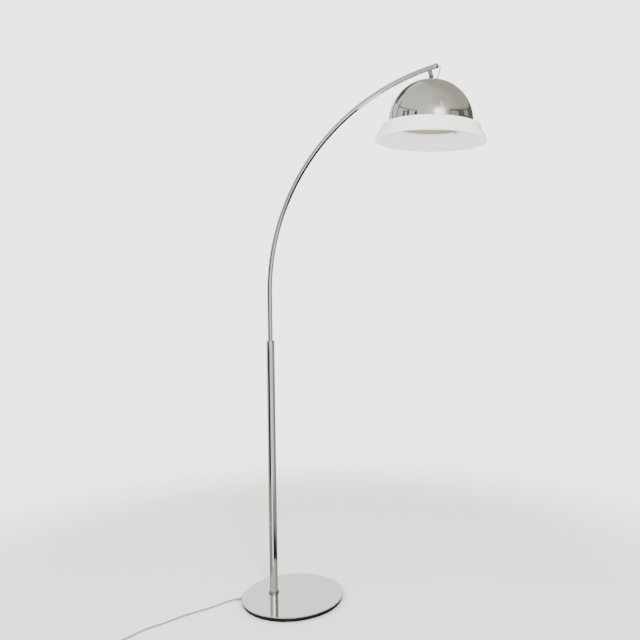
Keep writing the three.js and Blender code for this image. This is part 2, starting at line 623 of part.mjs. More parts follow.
function addCordCoil() {
  const edge = 4;
  const bundle = turned([
    [COIL_INNER, COIL_BOTTOM + edge], [COIL_INNER + edge, COIL_BOTTOM],
    [COIL_OUTER - edge, COIL_BOTTOM], [COIL_OUTER, COIL_BOTTOM + edge],
    [COIL_OUTER, COIL_TOP - edge], [COIL_OUTER - edge, COIL_TOP], [COIL_INNER + edge, COIL_TOP],
    [COIL_INNER, COIL_TOP - edge],
  ], 24);
  add('cord_coil', bundle.translate(COIL_AT.x, COIL_AT.y, 0), clearFlex);

  // The tie is a flat band round the bundle, on the far side of the coil from the plug.
  const band = (slack, tall) => [
    [-COIL_OUTER - slack, COIL_BOTTOM - tall], [-COIL_INNER + slack + 0.3, COIL_BOTTOM - tall],
    [-COIL_INNER + slack + 0.3, COIL_TOP + tall], [-COIL_OUTER - slack, COIL_TOP + tall],
  ].map(([x, z]) => new THREE.Vector2(x, z));
  const tie = new THREE.Shape(band(1, 0.85));
  tie.holes.push(new THREE.Path(band(0.35, 0.35).reverse()));
  const strap = new THREE.ExtrudeGeometry(tie, { depth: 6, bevelEnabled: false })
    .translate(0, 0, -3).rotateX(Math.PI / 2);
  add('coil_tie', strap.translate(COIL_AT.x, COIL_AT.y, 0), blackRubber);
}

function addPlug() {
  const halfOutline = [[5, 0], [6, 6], [9.4, 14], [12.7, 22], [12.7, PLUG_LENGTH]];
  const outline = [
    ...halfOutline, ...halfOutline.toReversed().map(([x, y]) => [-x, y]),
  ].map(([x, y]) => new THREE.Vector2(x, y));
  const tall = 13.2;
  const body = plate(outline, -tall / 2, tall / 2);
  add('plug_body', body.translate(PLUG_AT.x, PLUG_AT.y, PLUG_AT.z), ivoryPlastic);
  [1, -1].forEach((side, i) => {
    const pin = turned([[0, 0], [2, 0], [2, 17.5], [1.2, 19], [0, 19]], 10).rotateX(-Math.PI / 2);
    add(`plug_pin_${i + 1}`, pin.translate(
      PLUG_AT.x + side * PIN_SPACING / 2, PLUG_AT.y + PLUG_LENGTH + GAP, PLUG_AT.z,
    ), brass);
  });
}

function addMainsLead() {
  addStrainRelief();
  add('mains_cord', swept(curveThrough(CORD_ROUTE), CORD_RADIUS, 8, 42), clearFlex);
  addFootSwitch();
  add('switch_tail', swept(curveThrough(TAIL_ROUTE), CORD_RADIUS, 8, 14), clearFlex);
  addCordCoil();
  add('plug_tail', swept(curveThrough(PLUG_ROUTE), CORD_RADIUS, 8, 8), clearFlex);
  addPlug();
}

addBase();
addPole();
addArm();
addStem();
addStud();
addDome();
addSkirt();
addHolder();
addFlexes();
addMainsLead();

export default lamp;
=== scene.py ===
"""Arc floor lamp: chromed base, pole and bent arm, a chrome dome with an opal skirt, and a mains
lead with a foot switch. Metres, +Z up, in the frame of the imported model."""

import json
from math import asin, atan2, cos, degrees, hypot, pi, radians, sin, sqrt

import bmesh
import bpy
from bpy.props import FloatProperty, FloatVectorProperty, IntProperty, PointerProperty
from mathutils import Matrix, Vector


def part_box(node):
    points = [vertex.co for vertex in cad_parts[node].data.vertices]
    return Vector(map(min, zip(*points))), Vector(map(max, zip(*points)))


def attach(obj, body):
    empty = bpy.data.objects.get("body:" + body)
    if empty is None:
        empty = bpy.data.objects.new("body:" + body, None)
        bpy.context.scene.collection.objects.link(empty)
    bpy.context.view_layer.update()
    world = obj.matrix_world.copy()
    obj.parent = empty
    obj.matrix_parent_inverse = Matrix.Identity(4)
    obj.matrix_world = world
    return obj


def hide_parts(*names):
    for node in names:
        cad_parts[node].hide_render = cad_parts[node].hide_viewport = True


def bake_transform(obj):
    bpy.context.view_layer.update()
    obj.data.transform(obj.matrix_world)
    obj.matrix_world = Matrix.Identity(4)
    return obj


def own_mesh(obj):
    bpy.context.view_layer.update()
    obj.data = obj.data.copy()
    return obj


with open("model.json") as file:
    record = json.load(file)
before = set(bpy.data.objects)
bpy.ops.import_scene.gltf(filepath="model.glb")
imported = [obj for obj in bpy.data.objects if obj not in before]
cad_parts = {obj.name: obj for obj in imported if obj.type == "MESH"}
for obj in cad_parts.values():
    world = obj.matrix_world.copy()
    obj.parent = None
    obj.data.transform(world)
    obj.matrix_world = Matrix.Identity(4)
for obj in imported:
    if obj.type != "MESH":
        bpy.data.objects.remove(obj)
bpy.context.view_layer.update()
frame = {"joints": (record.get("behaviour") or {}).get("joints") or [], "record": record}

bl_info = {
    "name": "Arc floor lamp",
    "version": (1, 0, 0),
    "blender": (4, 5, 0),
    "location": "View3D > Sidebar > Lamp",
    "description": "Builds the finished pieces of an arc floor lamp round its packed model",
    "category": "Object",
}

MM = 0.001
GAP = 0.3 * MM

record = frame["record"]
BODY_OF = {node: body for body, nodes in record["behaviour"]["bodies"].items() for node in nodes}
SLOT_OF = {part["node"]: part["material_slot"] for part in record["subparts"]}
JOINTS = {joint["name"]: joint for joint in frame["joints"]}


def middle(node):
    """Centre of a node's box."""
    low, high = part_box(node)
    return (low + high) / 2


def reach(node, axis):
    """Half the node's size along an axis, which is the radius of a round piece."""
    low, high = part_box(node)
    return (high[axis] - low[axis]) / 2


def heights(node):
    """The lowest and the highest level of a node."""
    return [corner.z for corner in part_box(node)]


# ---- sizes and colours a user would change ------------------------------------------------------

X, Y, Z = range(3)


def length_of(default, name, description):
    return FloatProperty(
        name=name, description=description, default=default, min=0,
        subtype="DISTANCE", unit="LENGTH",
    )


def angle_of(default, name, description):
    return FloatProperty(
        name=name, description=description, default=default, subtype="ANGLE", unit="ROTATION"
    )


def colour_of(default, name, description):
    return FloatVectorProperty(
        name=name, description=description, default=default, size=3, min=0, max=1, subtype="COLOR"
    )


class LampSizes(bpy.types.PropertyGroup):
    """Driving sizes of the metalwork and the shade"""

    pole_radius: length_of(reach("pole", Y), "Pole radius", "Outside of the upright tube")
    tube_wall: length_of(1.5 * MM, "Tube wall", "Wall of the pole and of the arm")
    arm_radius: length_of(9 * MM, "Arm radius", "Outside of the bent tube")
    bend_start: length_of(1.1156, "Bend start", "Height at which the arm starts to bend")
    bend_radius: length_of(0.8118, "Bend radius", "Radius of the arm's centreline in the bend")
    bend_angle: angle_of(radians(78.43), "Bend angle", "How far the arm turns over")
    stem_length: length_of(34 * MM, "Stem length", "From the arm's axis to the ball's centre")
    stem_back: length_of(29 * MM, "Stem set back", "From the arm's open end to the stem's axis")
    dome_radius: length_of(148.3 * MM, "Dome radius", "Outside of the spun dome")
    dome_wall: length_of(1.2 * MM, "Dome wall", "Thickness of the spun sheet")
    shade_lean: angle_of(radians(1.85), "Shade lean", "Tilt at rest, towards the pole")
    shade_sway: angle_of(radians(-0.5), "Shade sway", "Tilt at rest, sideways")
    skirt_wall: length_of(3 * MM, "Skirt wall", "Thickness of the opal skirt")


class LeadSizes(bpy.types.PropertyGroup):
    """Sizes of the mains lead and its coil"""

    diameter: length_of(5 * MM, "Lead diameter", "Outside of the clear sleeve")
    flex_diameter: length_of(4.2 * MM, "Flex diameter", "The thinner lead at the shade")
    coil_radius: length_of(32.75 * MM, "Coil radius", "Outermost turn, to the lead's middle")
    coil_pitch: length_of(5.2 * MM, "Coil pitch", "From one turn to the next")
    facets: IntProperty(name="Facets", description="Sides of the lead's section", default=16, min=8)


class LampColours(bpy.types.PropertyGroup):
    """Colours of the finishes"""

    chrome: colour_of((0.80, 0.80, 0.775), "Chrome", "Polished plating")
    iron: colour_of((0.0045, 0.0045, 0.0045), "Iron paint", "Black paint on the weight")
    felt: colour_of((0.030, 0.032, 0.035), "Felt", "Pad under the base")
    zinc: colour_of((0.52, 0.53, 0.52), "Zinc", "Plated fasteners and brackets")
    rubber: colour_of((0.018, 0.018, 0.019), "Rubber", "Grommets and the tie")
    nylon: colour_of((0.76, 0.72, 0.62), "Nylon", "Bushes and the joint's liner")
    opal: colour_of((0.90, 0.90, 0.885), "Opal", "The acrylic skirt")
    lining: colour_of((0.70, 0.655, 0.50), "Lining", "Paint inside the dome")
    sleeve: colour_of((0.22, 0.195, 0.155), "Lead sleeve", "Clear sleeve over the strands")
    plastic: colour_of((0.77, 0.73, 0.62), "Moulding", "Foot switch and plug")
    phenolic: colour_of((0.020, 0.014, 0.011), "Phenolic", "Lamp holder")
    ceramic: colour_of((0.86, 0.84, 0.78), "Ceramic", "Core of the lamp holder")
    brass: colour_of((0.72, 0.53, 0.24), "Brass", "Contacts and caps")
    glass: colour_of((0.90, 0.89, 0.86), "Bulb", "Soft white glass")
    floor: colour_of((0.76, 0.76, 0.745), "Floor", "The plain floor")


class StageSettings(bpy.types.PropertyGroup):
    """Camera and light"""

    camera_at: FloatVectorProperty(
        name="Camera", description="Where the camera stands", default=(0.9962, -2.4248, 1.1466),
        subtype="TRANSLATION", unit="LENGTH",
    )
    camera_yaw: angle_of(0.2631, "Yaw", "Turn to the left of +Y")
    camera_pitch: angle_of(0.0274, "Pitch", "Tilt upwards")
    camera_roll: angle_of(-0.0186, "Roll", "Turn about the view")
    focal_length: FloatProperty(
        name="Focal length", description="On a sensor 36 mm wide", default=39.46, min=10,
        unit="CAMERA",
    )
    shift_x: FloatProperty(name="Shift X", description="Sideways framing", default=-0.0893)
    shift_y: FloatProperty(name="Shift Y", description="Upward framing", default=-0.0864)
    key_power: FloatProperty(
        name="Key light", description="Power of the main softbox", default=210, min=0, unit="POWER"
    )
    fill: FloatProperty(name="Fill", description="Strength of the even light", default=2.2, min=0)


# ---- finishes -----------------------------------------------------------------------------------

MIX_FACTOR, MIX_A, MIX_B, MIX_COLOUR = 0, 6, 7, 2


class Level:
    """A number that varies over a surface. Arithmetic on it adds Math nodes."""

    def __init__(self, tree, socket):
        self.tree = tree
        self.socket = socket

    def _math(self, operation, *values):
        node = self.tree.node("ShaderNodeMath", {"operation": operation}, dict(enumerate(values)))
        return Level(self.tree, node.outputs[0])

    def __add__(self, other):
        return self._math("ADD", self, other)

    def __sub__(self, other):
        return self._math("SUBTRACT", self, other)

    def __rsub__(self, other):
        return self._math("SUBTRACT", other, self)

    def __mul__(self, other):
        return self._math("MULTIPLY", self, other)

    def __pow__(self, power):
        return self._math("POWER", self, power)

    __radd__ = __add__
    __rmul__ = __mul__

    def sine(self):
        return self._math("SINE", self)

    def absolute(self):
        return self._math("ABSOLUTE", self)

    def least(self, other):
        return self._math("MINIMUM", self, other)

    def most(self, other):
        return self._math("MAXIMUM", self, other)

    def azimuth(self, across):
        return self._math("ARCTAN2", self, across)

    def arcsine(self):
        return self._math("ARCSINE", self)

    def between(self, low, high):
        """0 below low and 1 above high, with a smooth step between."""
        node = self.tree.node(
            "ShaderNodeMapRange", {"interpolation_type": "SMOOTHSTEP"},
            {"Value": self, "From Min": low, "From Max": high},
        )
        return Level(self.tree, node.outputs[0])


class Nodes:
    """A node tree that is being written."""

    def __init__(self, tree):
        self.tree = tree

    def node(self, kind, settings=None, inputs=None):
        """A node of that type, with its settings, then the values or links of its sockets."""
        made = self.tree.nodes.new(kind)
        for key, value in (settings or {}).items():
            setattr(made, key, value)
        for key, value in (inputs or {}).items():
            source = value.socket if isinstance(value, Level) else value
            if isinstance(source, bpy.types.NodeSocket):
                self.tree.links.new(source, made.inputs[key])
            else:
                made.inputs[key].default_value = source
        return made

    def mix(self, factor, a, b):
        """Colour a where factor is 0 and b where it is 1."""
        node = self.node(
            "ShaderNodeMix", {"data_type": "RGBA", "clamp_factor": True},
            {MIX_FACTOR: factor, MIX_A: opaque(a), MIX_B: opaque(b)},
        )
        return node.outputs[MIX_COLOUR]

    def parts(self, vector):
        """The three numbers of a vector."""
        split = self.node("ShaderNodeSeparateXYZ", inputs={0: vector})
        return [Level(self, socket) for socket in split.outputs]


def opaque(colour):
    return colour if isinstance(colour, bpy.types.NodeSocket) else (*colour[:3], 1)


class Finish(Nodes):
    """A material for one finish. Constants sit on the shader's own sockets."""

    def __init__(self, name, colour, roughness, metallic=0.0, **constants):
        self.material = bpy.data.materials.new(name)
        self.material.use_nodes = True
        self.material.diffuse_color = opaque(colour)
        super().__init__(self.material.node_tree)
        self.colour = tuple(colour)
        self.shader = self.tree.nodes["Principled BSDF"]
        values = {"Base Color": opaque(colour), "Roughness": roughness, "Metallic": metallic}
        for key, value in {**values, **constants}.items():
            self.shader.inputs[key].default_value = value
        place = self.node("ShaderNodeTexCoord")
        self.place = place.outputs["Object"]
        self.wrap = place.outputs["UV"]

    def grain(self, size, detail=2.0, stretch=(1, 1, 1), roughness=0.5):
        """Noise whose features are about size metres across, longer where stretch is above 1."""
        spread = [1 / (size * s) for s in stretch]
        scaled = self.node(
            "ShaderNodeVectorMath", {"operation": "MULTIPLY"}, {0: self.place, 1: spread}
        )
        noise = self.node(
            "ShaderNodeTexNoise", {},
            {"Vector": scaled.outputs[0], "Scale": 1.0, "Detail": detail, "Roughness": roughness},
        )
        return Level(self, noise.outputs[0])

    def specks(self, size):
        """Distance from scattered points about size metres apart, in units of size."""
        cells = self.node(
            "ShaderNodeTexVoronoi", {"feature": "F1"}, {"Vector": self.place, "Scale": 1 / size}
        )
        return Level(self, cells.outputs["Distance"])

    def feed(self, socket, source):
        self.tree.links.new(source.socket if isinstance(source, Level) else source,
                            self.shader.inputs[socket])

    def relief(self, height, depth):
        """Bump of that many metres."""
        bump = self.node(
            "ShaderNodeBump", {}, {"Height": height, "Strength": 1.0, "Distance": depth}
        )
        self.feed("Normal", bump.outputs[0])

    def shade(self, amount, level, tint=None):
        """Darkens the colour, or moves it to tint, by up to amount where level is 1."""
        other = tint or [c * (1 - amount) for c in self.colour]
        factor = level if tint is None else level * amount
        self.feed("Base Color", self.mix(factor, self.colour, other))


# Radii between which the stain on a worn plate sets in.
STAINED_EDGE = (0.1802, 0.1830)


def chrome(name, colour, wear=0.0):
    """Plating with haze and hairlines. Worn, it also has sparse pits and a stained edge."""
    finish = Finish(name, colour, 0.05, 1.0)
    haze = finish.grain(0.06, detail=5, roughness=0.6).between(0.42, 0.78)
    hairlines = finish.grain(0.0009, detail=3, stretch=(1, 1, 14)).between(0.55, 0.8)
    clouding = finish.grain(0.013, detail=4, roughness=0.65).between(0.5, 0.75)
    rough = 0.045 + haze * 0.035 + hairlines * 0.03 + clouding * wear * 0.10
    dull = haze * 0.35 + clouding * 0.25
    if wear:
        pits = 1 - finish.specks(0.0042).between(0.05, 0.16)
        sparse = finish.grain(0.03, detail=3).between(0.47, 0.62)
        x, y, _ = finish.parts(finish.place)
        edge = ((x * x + y * y) ** 0.5).between(*STAINED_EDGE)
        stain = edge * finish.grain(0.009, detail=5, roughness=0.65).between(0.34, 0.58)
        pitted = (pits * sparse).most(stain * 0.8)
        rough = rough + pitted * 0.45
        finish.feed("Metallic", 1 - pitted * 0.5)
        tarnish = finish.mix(pitted, [c * 0.93 for c in colour], (0.30, 0.25, 0.18))
        clean = 1 - (dull + pitted).between(0.0, 0.9)
        finish.feed("Base Color", finish.mix(clean, tarnish, colour))
        finish.relief(1 - pitted, 0.00008)
    else:
        finish.shade(0.09, dull)
        finish.relief(finish.grain(0.06, detail=1), 0.000008)
    finish.feed("Roughness", rough)
    return finish


def iron_paint(name, colour):
    finish = Finish(name, colour, 0.42, **{"Specular IOR Level": 0.25})
    peel = finish.grain(0.0022, detail=3)
    scuffs = finish.grain(0.004, detail=6, stretch=(3, 3, 1), roughness=0.7).between(0.6, 0.74)
    finish.feed("Base Color", finish.mix(scuffs * 0.5, colour, (0.02, 0.019, 0.018)))
    finish.feed("Roughness", 0.36 + peel * 0.2 + scuffs * 0.2)
    finish.relief(peel, 0.00018)
    return finish


def felt(name, colour):
    finish = Finish(name, colour, 0.95, **{"Sheen Weight": 0.5, "Sheen Roughness": 0.6})
    fibres = finish.grain(0.0011, detail=8, stretch=(1, 5, 1), roughness=0.75)
    crossing = finish.grain(0.0011, detail=8, stretch=(5, 1, 1), roughness=0.75)
    finish.shade(0.45, (fibres + crossing) * 0.5)
    finish.relief(fibres + crossing, 0.0005)
    return finish


def zinc(name, colour):
    finish = Finish(name, colour, 0.34, 1.0)
    spangle = finish.grain(0.006, detail=5, roughness=0.65)
    drawn = finish.grain(0.0007, detail=3, stretch=(1, 1, 9))
    finish.shade(0.5, spangle.between(0.4, 0.75), tint=(0.47, 0.45, 0.37))
    finish.feed("Roughness", 0.24 + spangle * 0.16 + drawn * 0.1)
    finish.relief(drawn, 0.00003)
    return finish


def clouded(name, colour, rough, cloud, amount, bumps, tint=None, metallic=0.0, **constants):
    """A finish with clouds that shift its colour by amount and raise its roughness.

    rough is the roughness between the clouds and what they add. cloud is their size, detail,
    contrast and the noise levels where they begin and are full. bumps is the size, detail and
    depth of the surface's grain."""
    base, gain = rough
    size, detail, contrast, low, high = cloud
    bump_size, bump_detail, depth = bumps
    finish = Finish(name, colour, base, metallic, **constants)
    mask = finish.grain(size, detail, roughness=contrast).between(low, high)
    finish.shade(amount, mask, tint)
    finish.feed("Roughness", base + mask * gain)
    finish.relief(finish.grain(bump_size, bump_detail), depth)
    return finish


def moulding(name, colour, roughness=0.3, **constants):
    """Moulded plastic with a fine spark-eroded grain and handling marks."""
    finish = Finish(name, colour, roughness, **constants)
    mottle = finish.grain(0.011, detail=4).between(0.35, 0.8)
    orange_peel = finish.grain(0.0008, detail=2)
    finish.shade(0.10, mottle)
    finish.feed("Roughness", (roughness - 0.06) + mottle * 0.09 + orange_peel * 0.06)
    finish.relief(orange_peel, 0.00003)
    return finish


def opal(name, colour):
    finish = Finish(
        name, colour, 0.10,
        **{"Subsurface Weight": 0.85, "Subsurface Scale": 0.025, "Subsurface Radius": (1, 1, 1),
           "IOR": 1.49, "Coat Roughness": 0.04},
    )
    cloud = finish.grain(0.05, detail=3).between(0.3, 0.8)
    smear = finish.grain(0.02, detail=5, stretch=(1, 1, 3), roughness=0.6).between(0.5, 0.8)
    finish.shade(0.025, cloud)
    finish.feed("Roughness", 0.07 + smear * 0.10)
    finish.relief(finish.grain(0.07, detail=1), 0.00012)
    return finish


def lining(name, colour):
    finish = Finish(name, colour, 0.45)
    spray = finish.grain(0.0014, detail=4)
    warm = finish.grain(0.04, detail=4).between(0.35, 0.8)
    finish.shade(0.12, warm)
    finish.feed("Roughness", 0.38 + spray * 0.16)
    finish.relief(spray, 0.00008)
    return finish


def sleeve(name, colour):
    """Clear sleeve over two twisted cores. The cores show as slanting bands round the lead."""
    finish = Finish(
        name, colour, 0.16,
        **{"Coat Weight": 0.7, "Coat Roughness": 0.06, "Specular IOR Level": 0.6},
    )
    around, along, _ = finish.parts(finish.wrap)
    twist = lambda count, pitch: (around * (count * 2 * pi) + along * (2 * pi / pitch)).sine()
    lay = twist(2, 0.021)
    gap = 1 - lay.absolute().between(0.0, 0.35)
    strands = twist(22, 0.0045) * 0.5 + 0.5
    bright = finish.mix(strands * 0.5, colour, (0.38, 0.35, 0.29))
    finish.feed("Base Color", finish.mix(gap * 0.55, bright, (0.13, 0.11, 0.085)))
    finish.feed("Roughness", 0.12 + finish.grain(0.006, detail=4) * 0.12)
    finish.relief(lay.absolute() + strands * 0.08, 0.00012)
    return finish


FINISHES = {}


def mix_finishes(colours):
    """Every finish of the lamp, by the record's material slot, and those that no slot is named
    after: chrome darkened to half as painted shade, worn chrome, phenolic, blackened steel and the
    dome's lining."""
    FINISHES.update({
        "chrome": chrome("chrome", colours.chrome),
        # Chrome at half brightness: a shaded copy of the plating, painted shade.
        "painted_shade_chrome": chrome("painted_shade_chrome", [c * 0.5 for c in colours.chrome]),
        "worn_chrome": chrome("worn_chrome", colours.chrome, wear=1.0),
        "black_iron": iron_paint("black_iron", colours.iron),
        "felt": felt("felt", colours.felt),
        "zinc_steel": zinc("zinc_steel", colours.zinc),
        "blackened_steel": clouded(
            "blackened_steel", (0.08, 0.08, 0.08), (0.24, 0.16), (0.0035, 5, 0.5, 0.55, 0.75), 0.6,
            (0.0006, 2, 0.00002), tint=(0.25, 0.245, 0.235), metallic=0.85,
        ),
        "black_rubber": clouded(
            "black_rubber", colours.rubber, (0.52, 0.22), (0.005, 5, 0.5, 0.4, 0.8), 0.5,
            (0.0004, 3, 0.00006), tint=(0.07, 0.068, 0.064),
        ),
        "nylon": moulding("nylon", colours.nylon, 0.45),
        "opal_acrylic": opal("opal_acrylic", colours.opal),
        "dome_lining": lining("dome_lining", colours.lining),
        "clear_flex": sleeve("clear_flex", colours.sleeve),
        "ivory_plastic": moulding("ivory_plastic", colours.plastic),
        "phenolic": moulding("phenolic", colours.phenolic, 0.24, **{"Coat Weight": 0.3}),
        "ceramic": clouded(
            "ceramic", colours.ceramic, (0.18, 0.2), (0.0012, 4, 0.5, 0.66, 0.76), 0.35,
            (0.004, 2, 0.00008), **{"Coat Weight": 0.5, "Coat Roughness": 0.08},
        ),
        "brass": clouded(
            "brass", colours.brass, (0.2, 0.25), (0.007, 6, 0.65, 0.45, 0.8), 0.5,
            (0.0007, 2, 0.00003), tint=(0.42, 0.28, 0.12), metallic=1.0,
        ),
        "bulb_glass": clouded(
            "bulb_glass", colours.glass, (0.12, 0.1), (0.009, 5, 0.5, 0.3, 0.8), 0.04,
            (0.02, 1, 0.0001), **{"Coat Weight": 1.0, "Coat Roughness": 0.03},
        ),
    })


# ---- shapes -------------------------------------------------------------------------------------

def softened(outline, trim, closed, steps=3):
    """The outline with its corners rounded off, starting at most trim from each corner."""
    points = [Vector(p) for p in outline]
    if not trim:
        return points
    rounded = []
    for i, corner in enumerate(points):
        before, after = points[i - 1] - corner, points[(i + 1) % len(points)] - corner
        end = not closed and i in (0, len(points) - 1)
        if end or before.length < 1e-7 or after.length < 1e-7 or before.angle(after) > radians(165):
            rounded.append(corner)
            continue
        start = corner + before * min(trim / before.length, 0.4)
        stop = corner + after * min(trim / after.length, 0.4)
        for step in range(steps + 1):
            t = step / steps
            rounded.append(start.lerp(corner, t).lerp(corner.lerp(stop, t), t))
    return rounded


def arc(r, z, radius, start, stop, steps):
    """Points along an arc of a profile, with the angles in degrees from the outward direction."""
    angles = [radians(start + (stop - start) * i / steps) for i in range(steps + 1)]
    return [(r + radius * cos(a), z + radius * sin(a)) for a in angles]


def flowing(points, steps):
    """A smooth line through the points, with that many steps between each two."""
    knots = [Vector(p) for p in points]
    knots = [2 * knots[0] - knots[1], *knots, 2 * knots[-1] - knots[-2]]
    line = []
    for a, b, c, d in zip(knots, knots[1:], knots[2:], knots[3:]):
        t1 = sqrt((b - a).length)
        t2 = t1 + sqrt((c - b).length)
        t3 = t2 + sqrt((d - c).length)
        for step in range(steps):
            t = t1 + (t2 - t1) * step / steps
            share = (t - t1) / (t2 - t1)
            ab, bc, cd = a.lerp(b, t / t1), b.lerp(c, share), c.lerp(d, (t - t2) / (t3 - t2))
            line.append(ab.lerp(bc, t / t2).lerp(bc.lerp(cd, (t - t1) / (t3 - t1)), share))
    return [*line, knots[-2]]


class Spine:
    """A line through space that shapes are built along, turning as little as it can."""

    def __init__(self, points):
        self.points = [Vector(p) for p in points]
        self.distances = [0.0]
        for a, b in zip(self.points, self.points[1:]):
            self.distances.append(self.distances[-1] + (b - a).length)
        ahead = [*self.points[1:], 2 * self.points[-1] - self.points[-2]]
        behind = [2 * self.points[0] - self.points[1], *self.points[:-1]]
        heading = [(b - a).normalized() for a, b in zip(behind, ahead)]
        across = heading[0].orthogonal().normalized()
        self.frames = []
        for place, forward in zip(self.points, heading):
            across = (across - forward * across.dot(forward)).normalized()
            up = forward.cross(across)
            self.frames.append(Matrix((across, up, forward)).transposed().to_4x4())
            self.frames[-1].translation = place

    @property
    def length(self):
        return self.distances[-1]

    def at(self, distance):
        """The frame at a distance along the line, with +Z ahead."""
        low, high = 0, len(self.distances) - 1
        while high - low > 1:
            half = (low + high) // 2
            low, high = (half, high) if self.distances[half] <= distance else (low, half)
        span = self.distances[high] - self.distances[low]
        return self.frames[low].lerp(self.frames[high], (distance - self.distances[low]) / span)


def skinned(rings, closed, heights):
    """A closed shape through rings of equal count, or of one vertex at a tip. Its UVs are the turn
    round the ring and the height, in metres."""
    shape = bmesh.new()
    uv = shape.loops.layers.uv.new("wrap")
    rows = [[shape.verts.new(p) for p in ring] for ring in rings]
    sides = max(map(len, rows))
    pairs = list(zip(range(len(rows)), range(1, len(rows))))
    if closed:
        pairs.append((len(rows) - 1, 0))
    for low, high in pairs:
        for k in range(sides):
            corners = [(low, k), (low, k + 1), (high, k + 1), (high, k)]
            seen = {}
            for row, column in corners:
                seen.setdefault(rows[row][column % len(rows[row])], (column / sides, heights[row]))
            if len(seen) > 2:
                face = shape.faces.new(seen)
                for loop in face.loops:
                    loop[uv].uv = seen[loop.vert]
    bmesh.ops.recalc_face_normals(shape, faces=shape.faces)
    return shape


def turned(profile, segments=96, soften=0.0, spine=None):
    """A profile of (radius, height) pairs turned about Z, or about a spine whose distance is the
    height. It starts and ends on the axis, or closes on itself."""
    closed = profile[0][0] != 0
    outline = softened(profile, soften, closed)
    circle = [(cos(2 * pi * k / segments), sin(2 * pi * k / segments)) for k in range(segments)]
    rings = []
    for r, z in outline:
        around = circle if r > 1e-7 else circle[:1]
        if spine:
            place = spine.at(z)
            rings.append([place @ Vector((r * c, r * s, 0)) for c, s in around])
        else:
            rings.append([(r * c, r * s, z) for c, s in around])
    return skinned(rings, closed, [z for _, z in outline])


def plain_round(bore, radius, low, high, segments=64, soften=0.0):
    """A straight round piece, solid if the bore is 0."""
    profile = [(bore, low), (radius, low), (radius, high), (bore, high)]
    return turned(profile, segments, soften)


def lofted(outline_at, profile, closed=False):
    """Outlines stacked along Z: the profile gives an (inset, height) pair for each."""
    rings = [[(x, y, z) for x, y in outline_at(inset)] for inset, z in profile]
    if closed:
        return skinned(rings, True, [z for _, z in profile])
    first, last = ([(0, 0, profile[i][1])] for i in (0, -1))
    stations = [z for _, z in (profile[0], *profile, profile[-1])]
    return skinned([first, *rings, last], False, stations)


def slab(outline, depth, edge=0.3 * MM):
    """A flat outline in XZ, made depth thick along Y about the middle, with its edges eased."""
    shape = bmesh.new()
    face = shape.faces.new([shape.verts.new((x, -depth / 2, z)) for x, z in outline])
    grown = bmesh.ops.extrude_face_region(shape, geom=[face])
    top = [v for v in grown["geom"] if isinstance(v, bmesh.types.BMVert)]
    bmesh.ops.translate(shape, verts=top, vec=(0, depth, 0))
    bmesh.ops.recalc_face_normals(shape, faces=shape.faces)
    rims = [e for e in shape.edges if abs(e.verts[0].co.y - e.verts[1].co.y) < 1e-6]
    bmesh.ops.bevel(shape, geom=rims, offset=edge, segments=2, affect="EDGES", clamp_overlap=True)
    return shape


def strip(line, thickness, width, bend):
    """A strip of that width along Y, folded along a line in XZ, with rounded bends."""
    middle_line = softened(line, bend, False, 5)
    left, right = [], []
    for i, point in enumerate(middle_line):
        ahead = middle_line[min(i + 1, len(middle_line) - 1)] - middle_line[max(i - 1, 0)]
        side = Vector((-ahead.y, ahead.x)).normalized() * thickness / 2
        left.append(point + side)
        right.append(point - side)
    return slab([*left, *reversed(right)], width)


def stadium(length, width, inset, steps=20):
    """A round-ended outline, long along Y."""
    round_end = width / 2 - inset
    ahead = length / 2 - width / 2
    points = []
    for side in (1, -1):
        turn = 0 if side > 0 else pi
        angles = [turn + pi * i / steps for i in range(steps + 1)]
        points += [(round_end * cos(a), side * ahead + round_end * sin(a)) for a in angles]
    return points


def rounded_box(width, height, corner, steps=5):
    """A rectangle with round corners about the origin."""
    points = []
    for quarter, (sx, sy) in enumerate(((1, 1), (-1, 1), (-1, -1), (1, -1))):
        for i in range(steps + 1):
            angle = pi / 2 * (quarter + i / steps)
            points.append((sx * (width / 2 - corner) + corner * cos(angle),
                           sy * (height / 2 - corner) + corner * sin(angle)))
    return points


def rippled(shape, low, high, beyond, depth, around=0, pitch=None):
    """Sinks waves into what lies outside a radius between two heights: threads, knurls and ribs."""
    for vertex in shape.verts:
        x, y, z = vertex.co
        radius = hypot(x, y)
        if radius > beyond and low <= z <= high:
            phase = atan2(y, x) * around + (2 * pi * z / pitch if pitch else 0)
            ease = min(1, (z - low) / (0.6 * MM), (high - z) / (0.6 * MM))
            scale = 1 - depth * ease * (0.5 - 0.5 * cos(phase)) / radius
            vertex.co.x, vertex.co.y = x * scale, y * scale
    return shape


def threaded(shape, low, high, beyond, depth, pitch):
    """Sinks a single-start thread into what lies outside a radius between two heights."""
    return rippled(shape, low, high, beyond, depth, 1, pitch)


def placed(shape, *moves):
    """The shape after the moves, the last of them first."""
    for move in reversed(moves):
        bmesh.ops.transform(shape, matrix=move, verts=shape.verts)
    return shape


def moved(x, y, z):
    return Matrix.Translation((x, y, z))


def lean(angle, axis="Y"):
    return Matrix.Rotation(angle, 4, axis)


def as_object(name, shape):
    mesh = bpy.data.meshes.new(name)
    shape.to_mesh(mesh)
    shape.free()
    made = bpy.data.objects.new(name, mesh)
    bpy.context.scene.collection.objects.link(made)
    return made


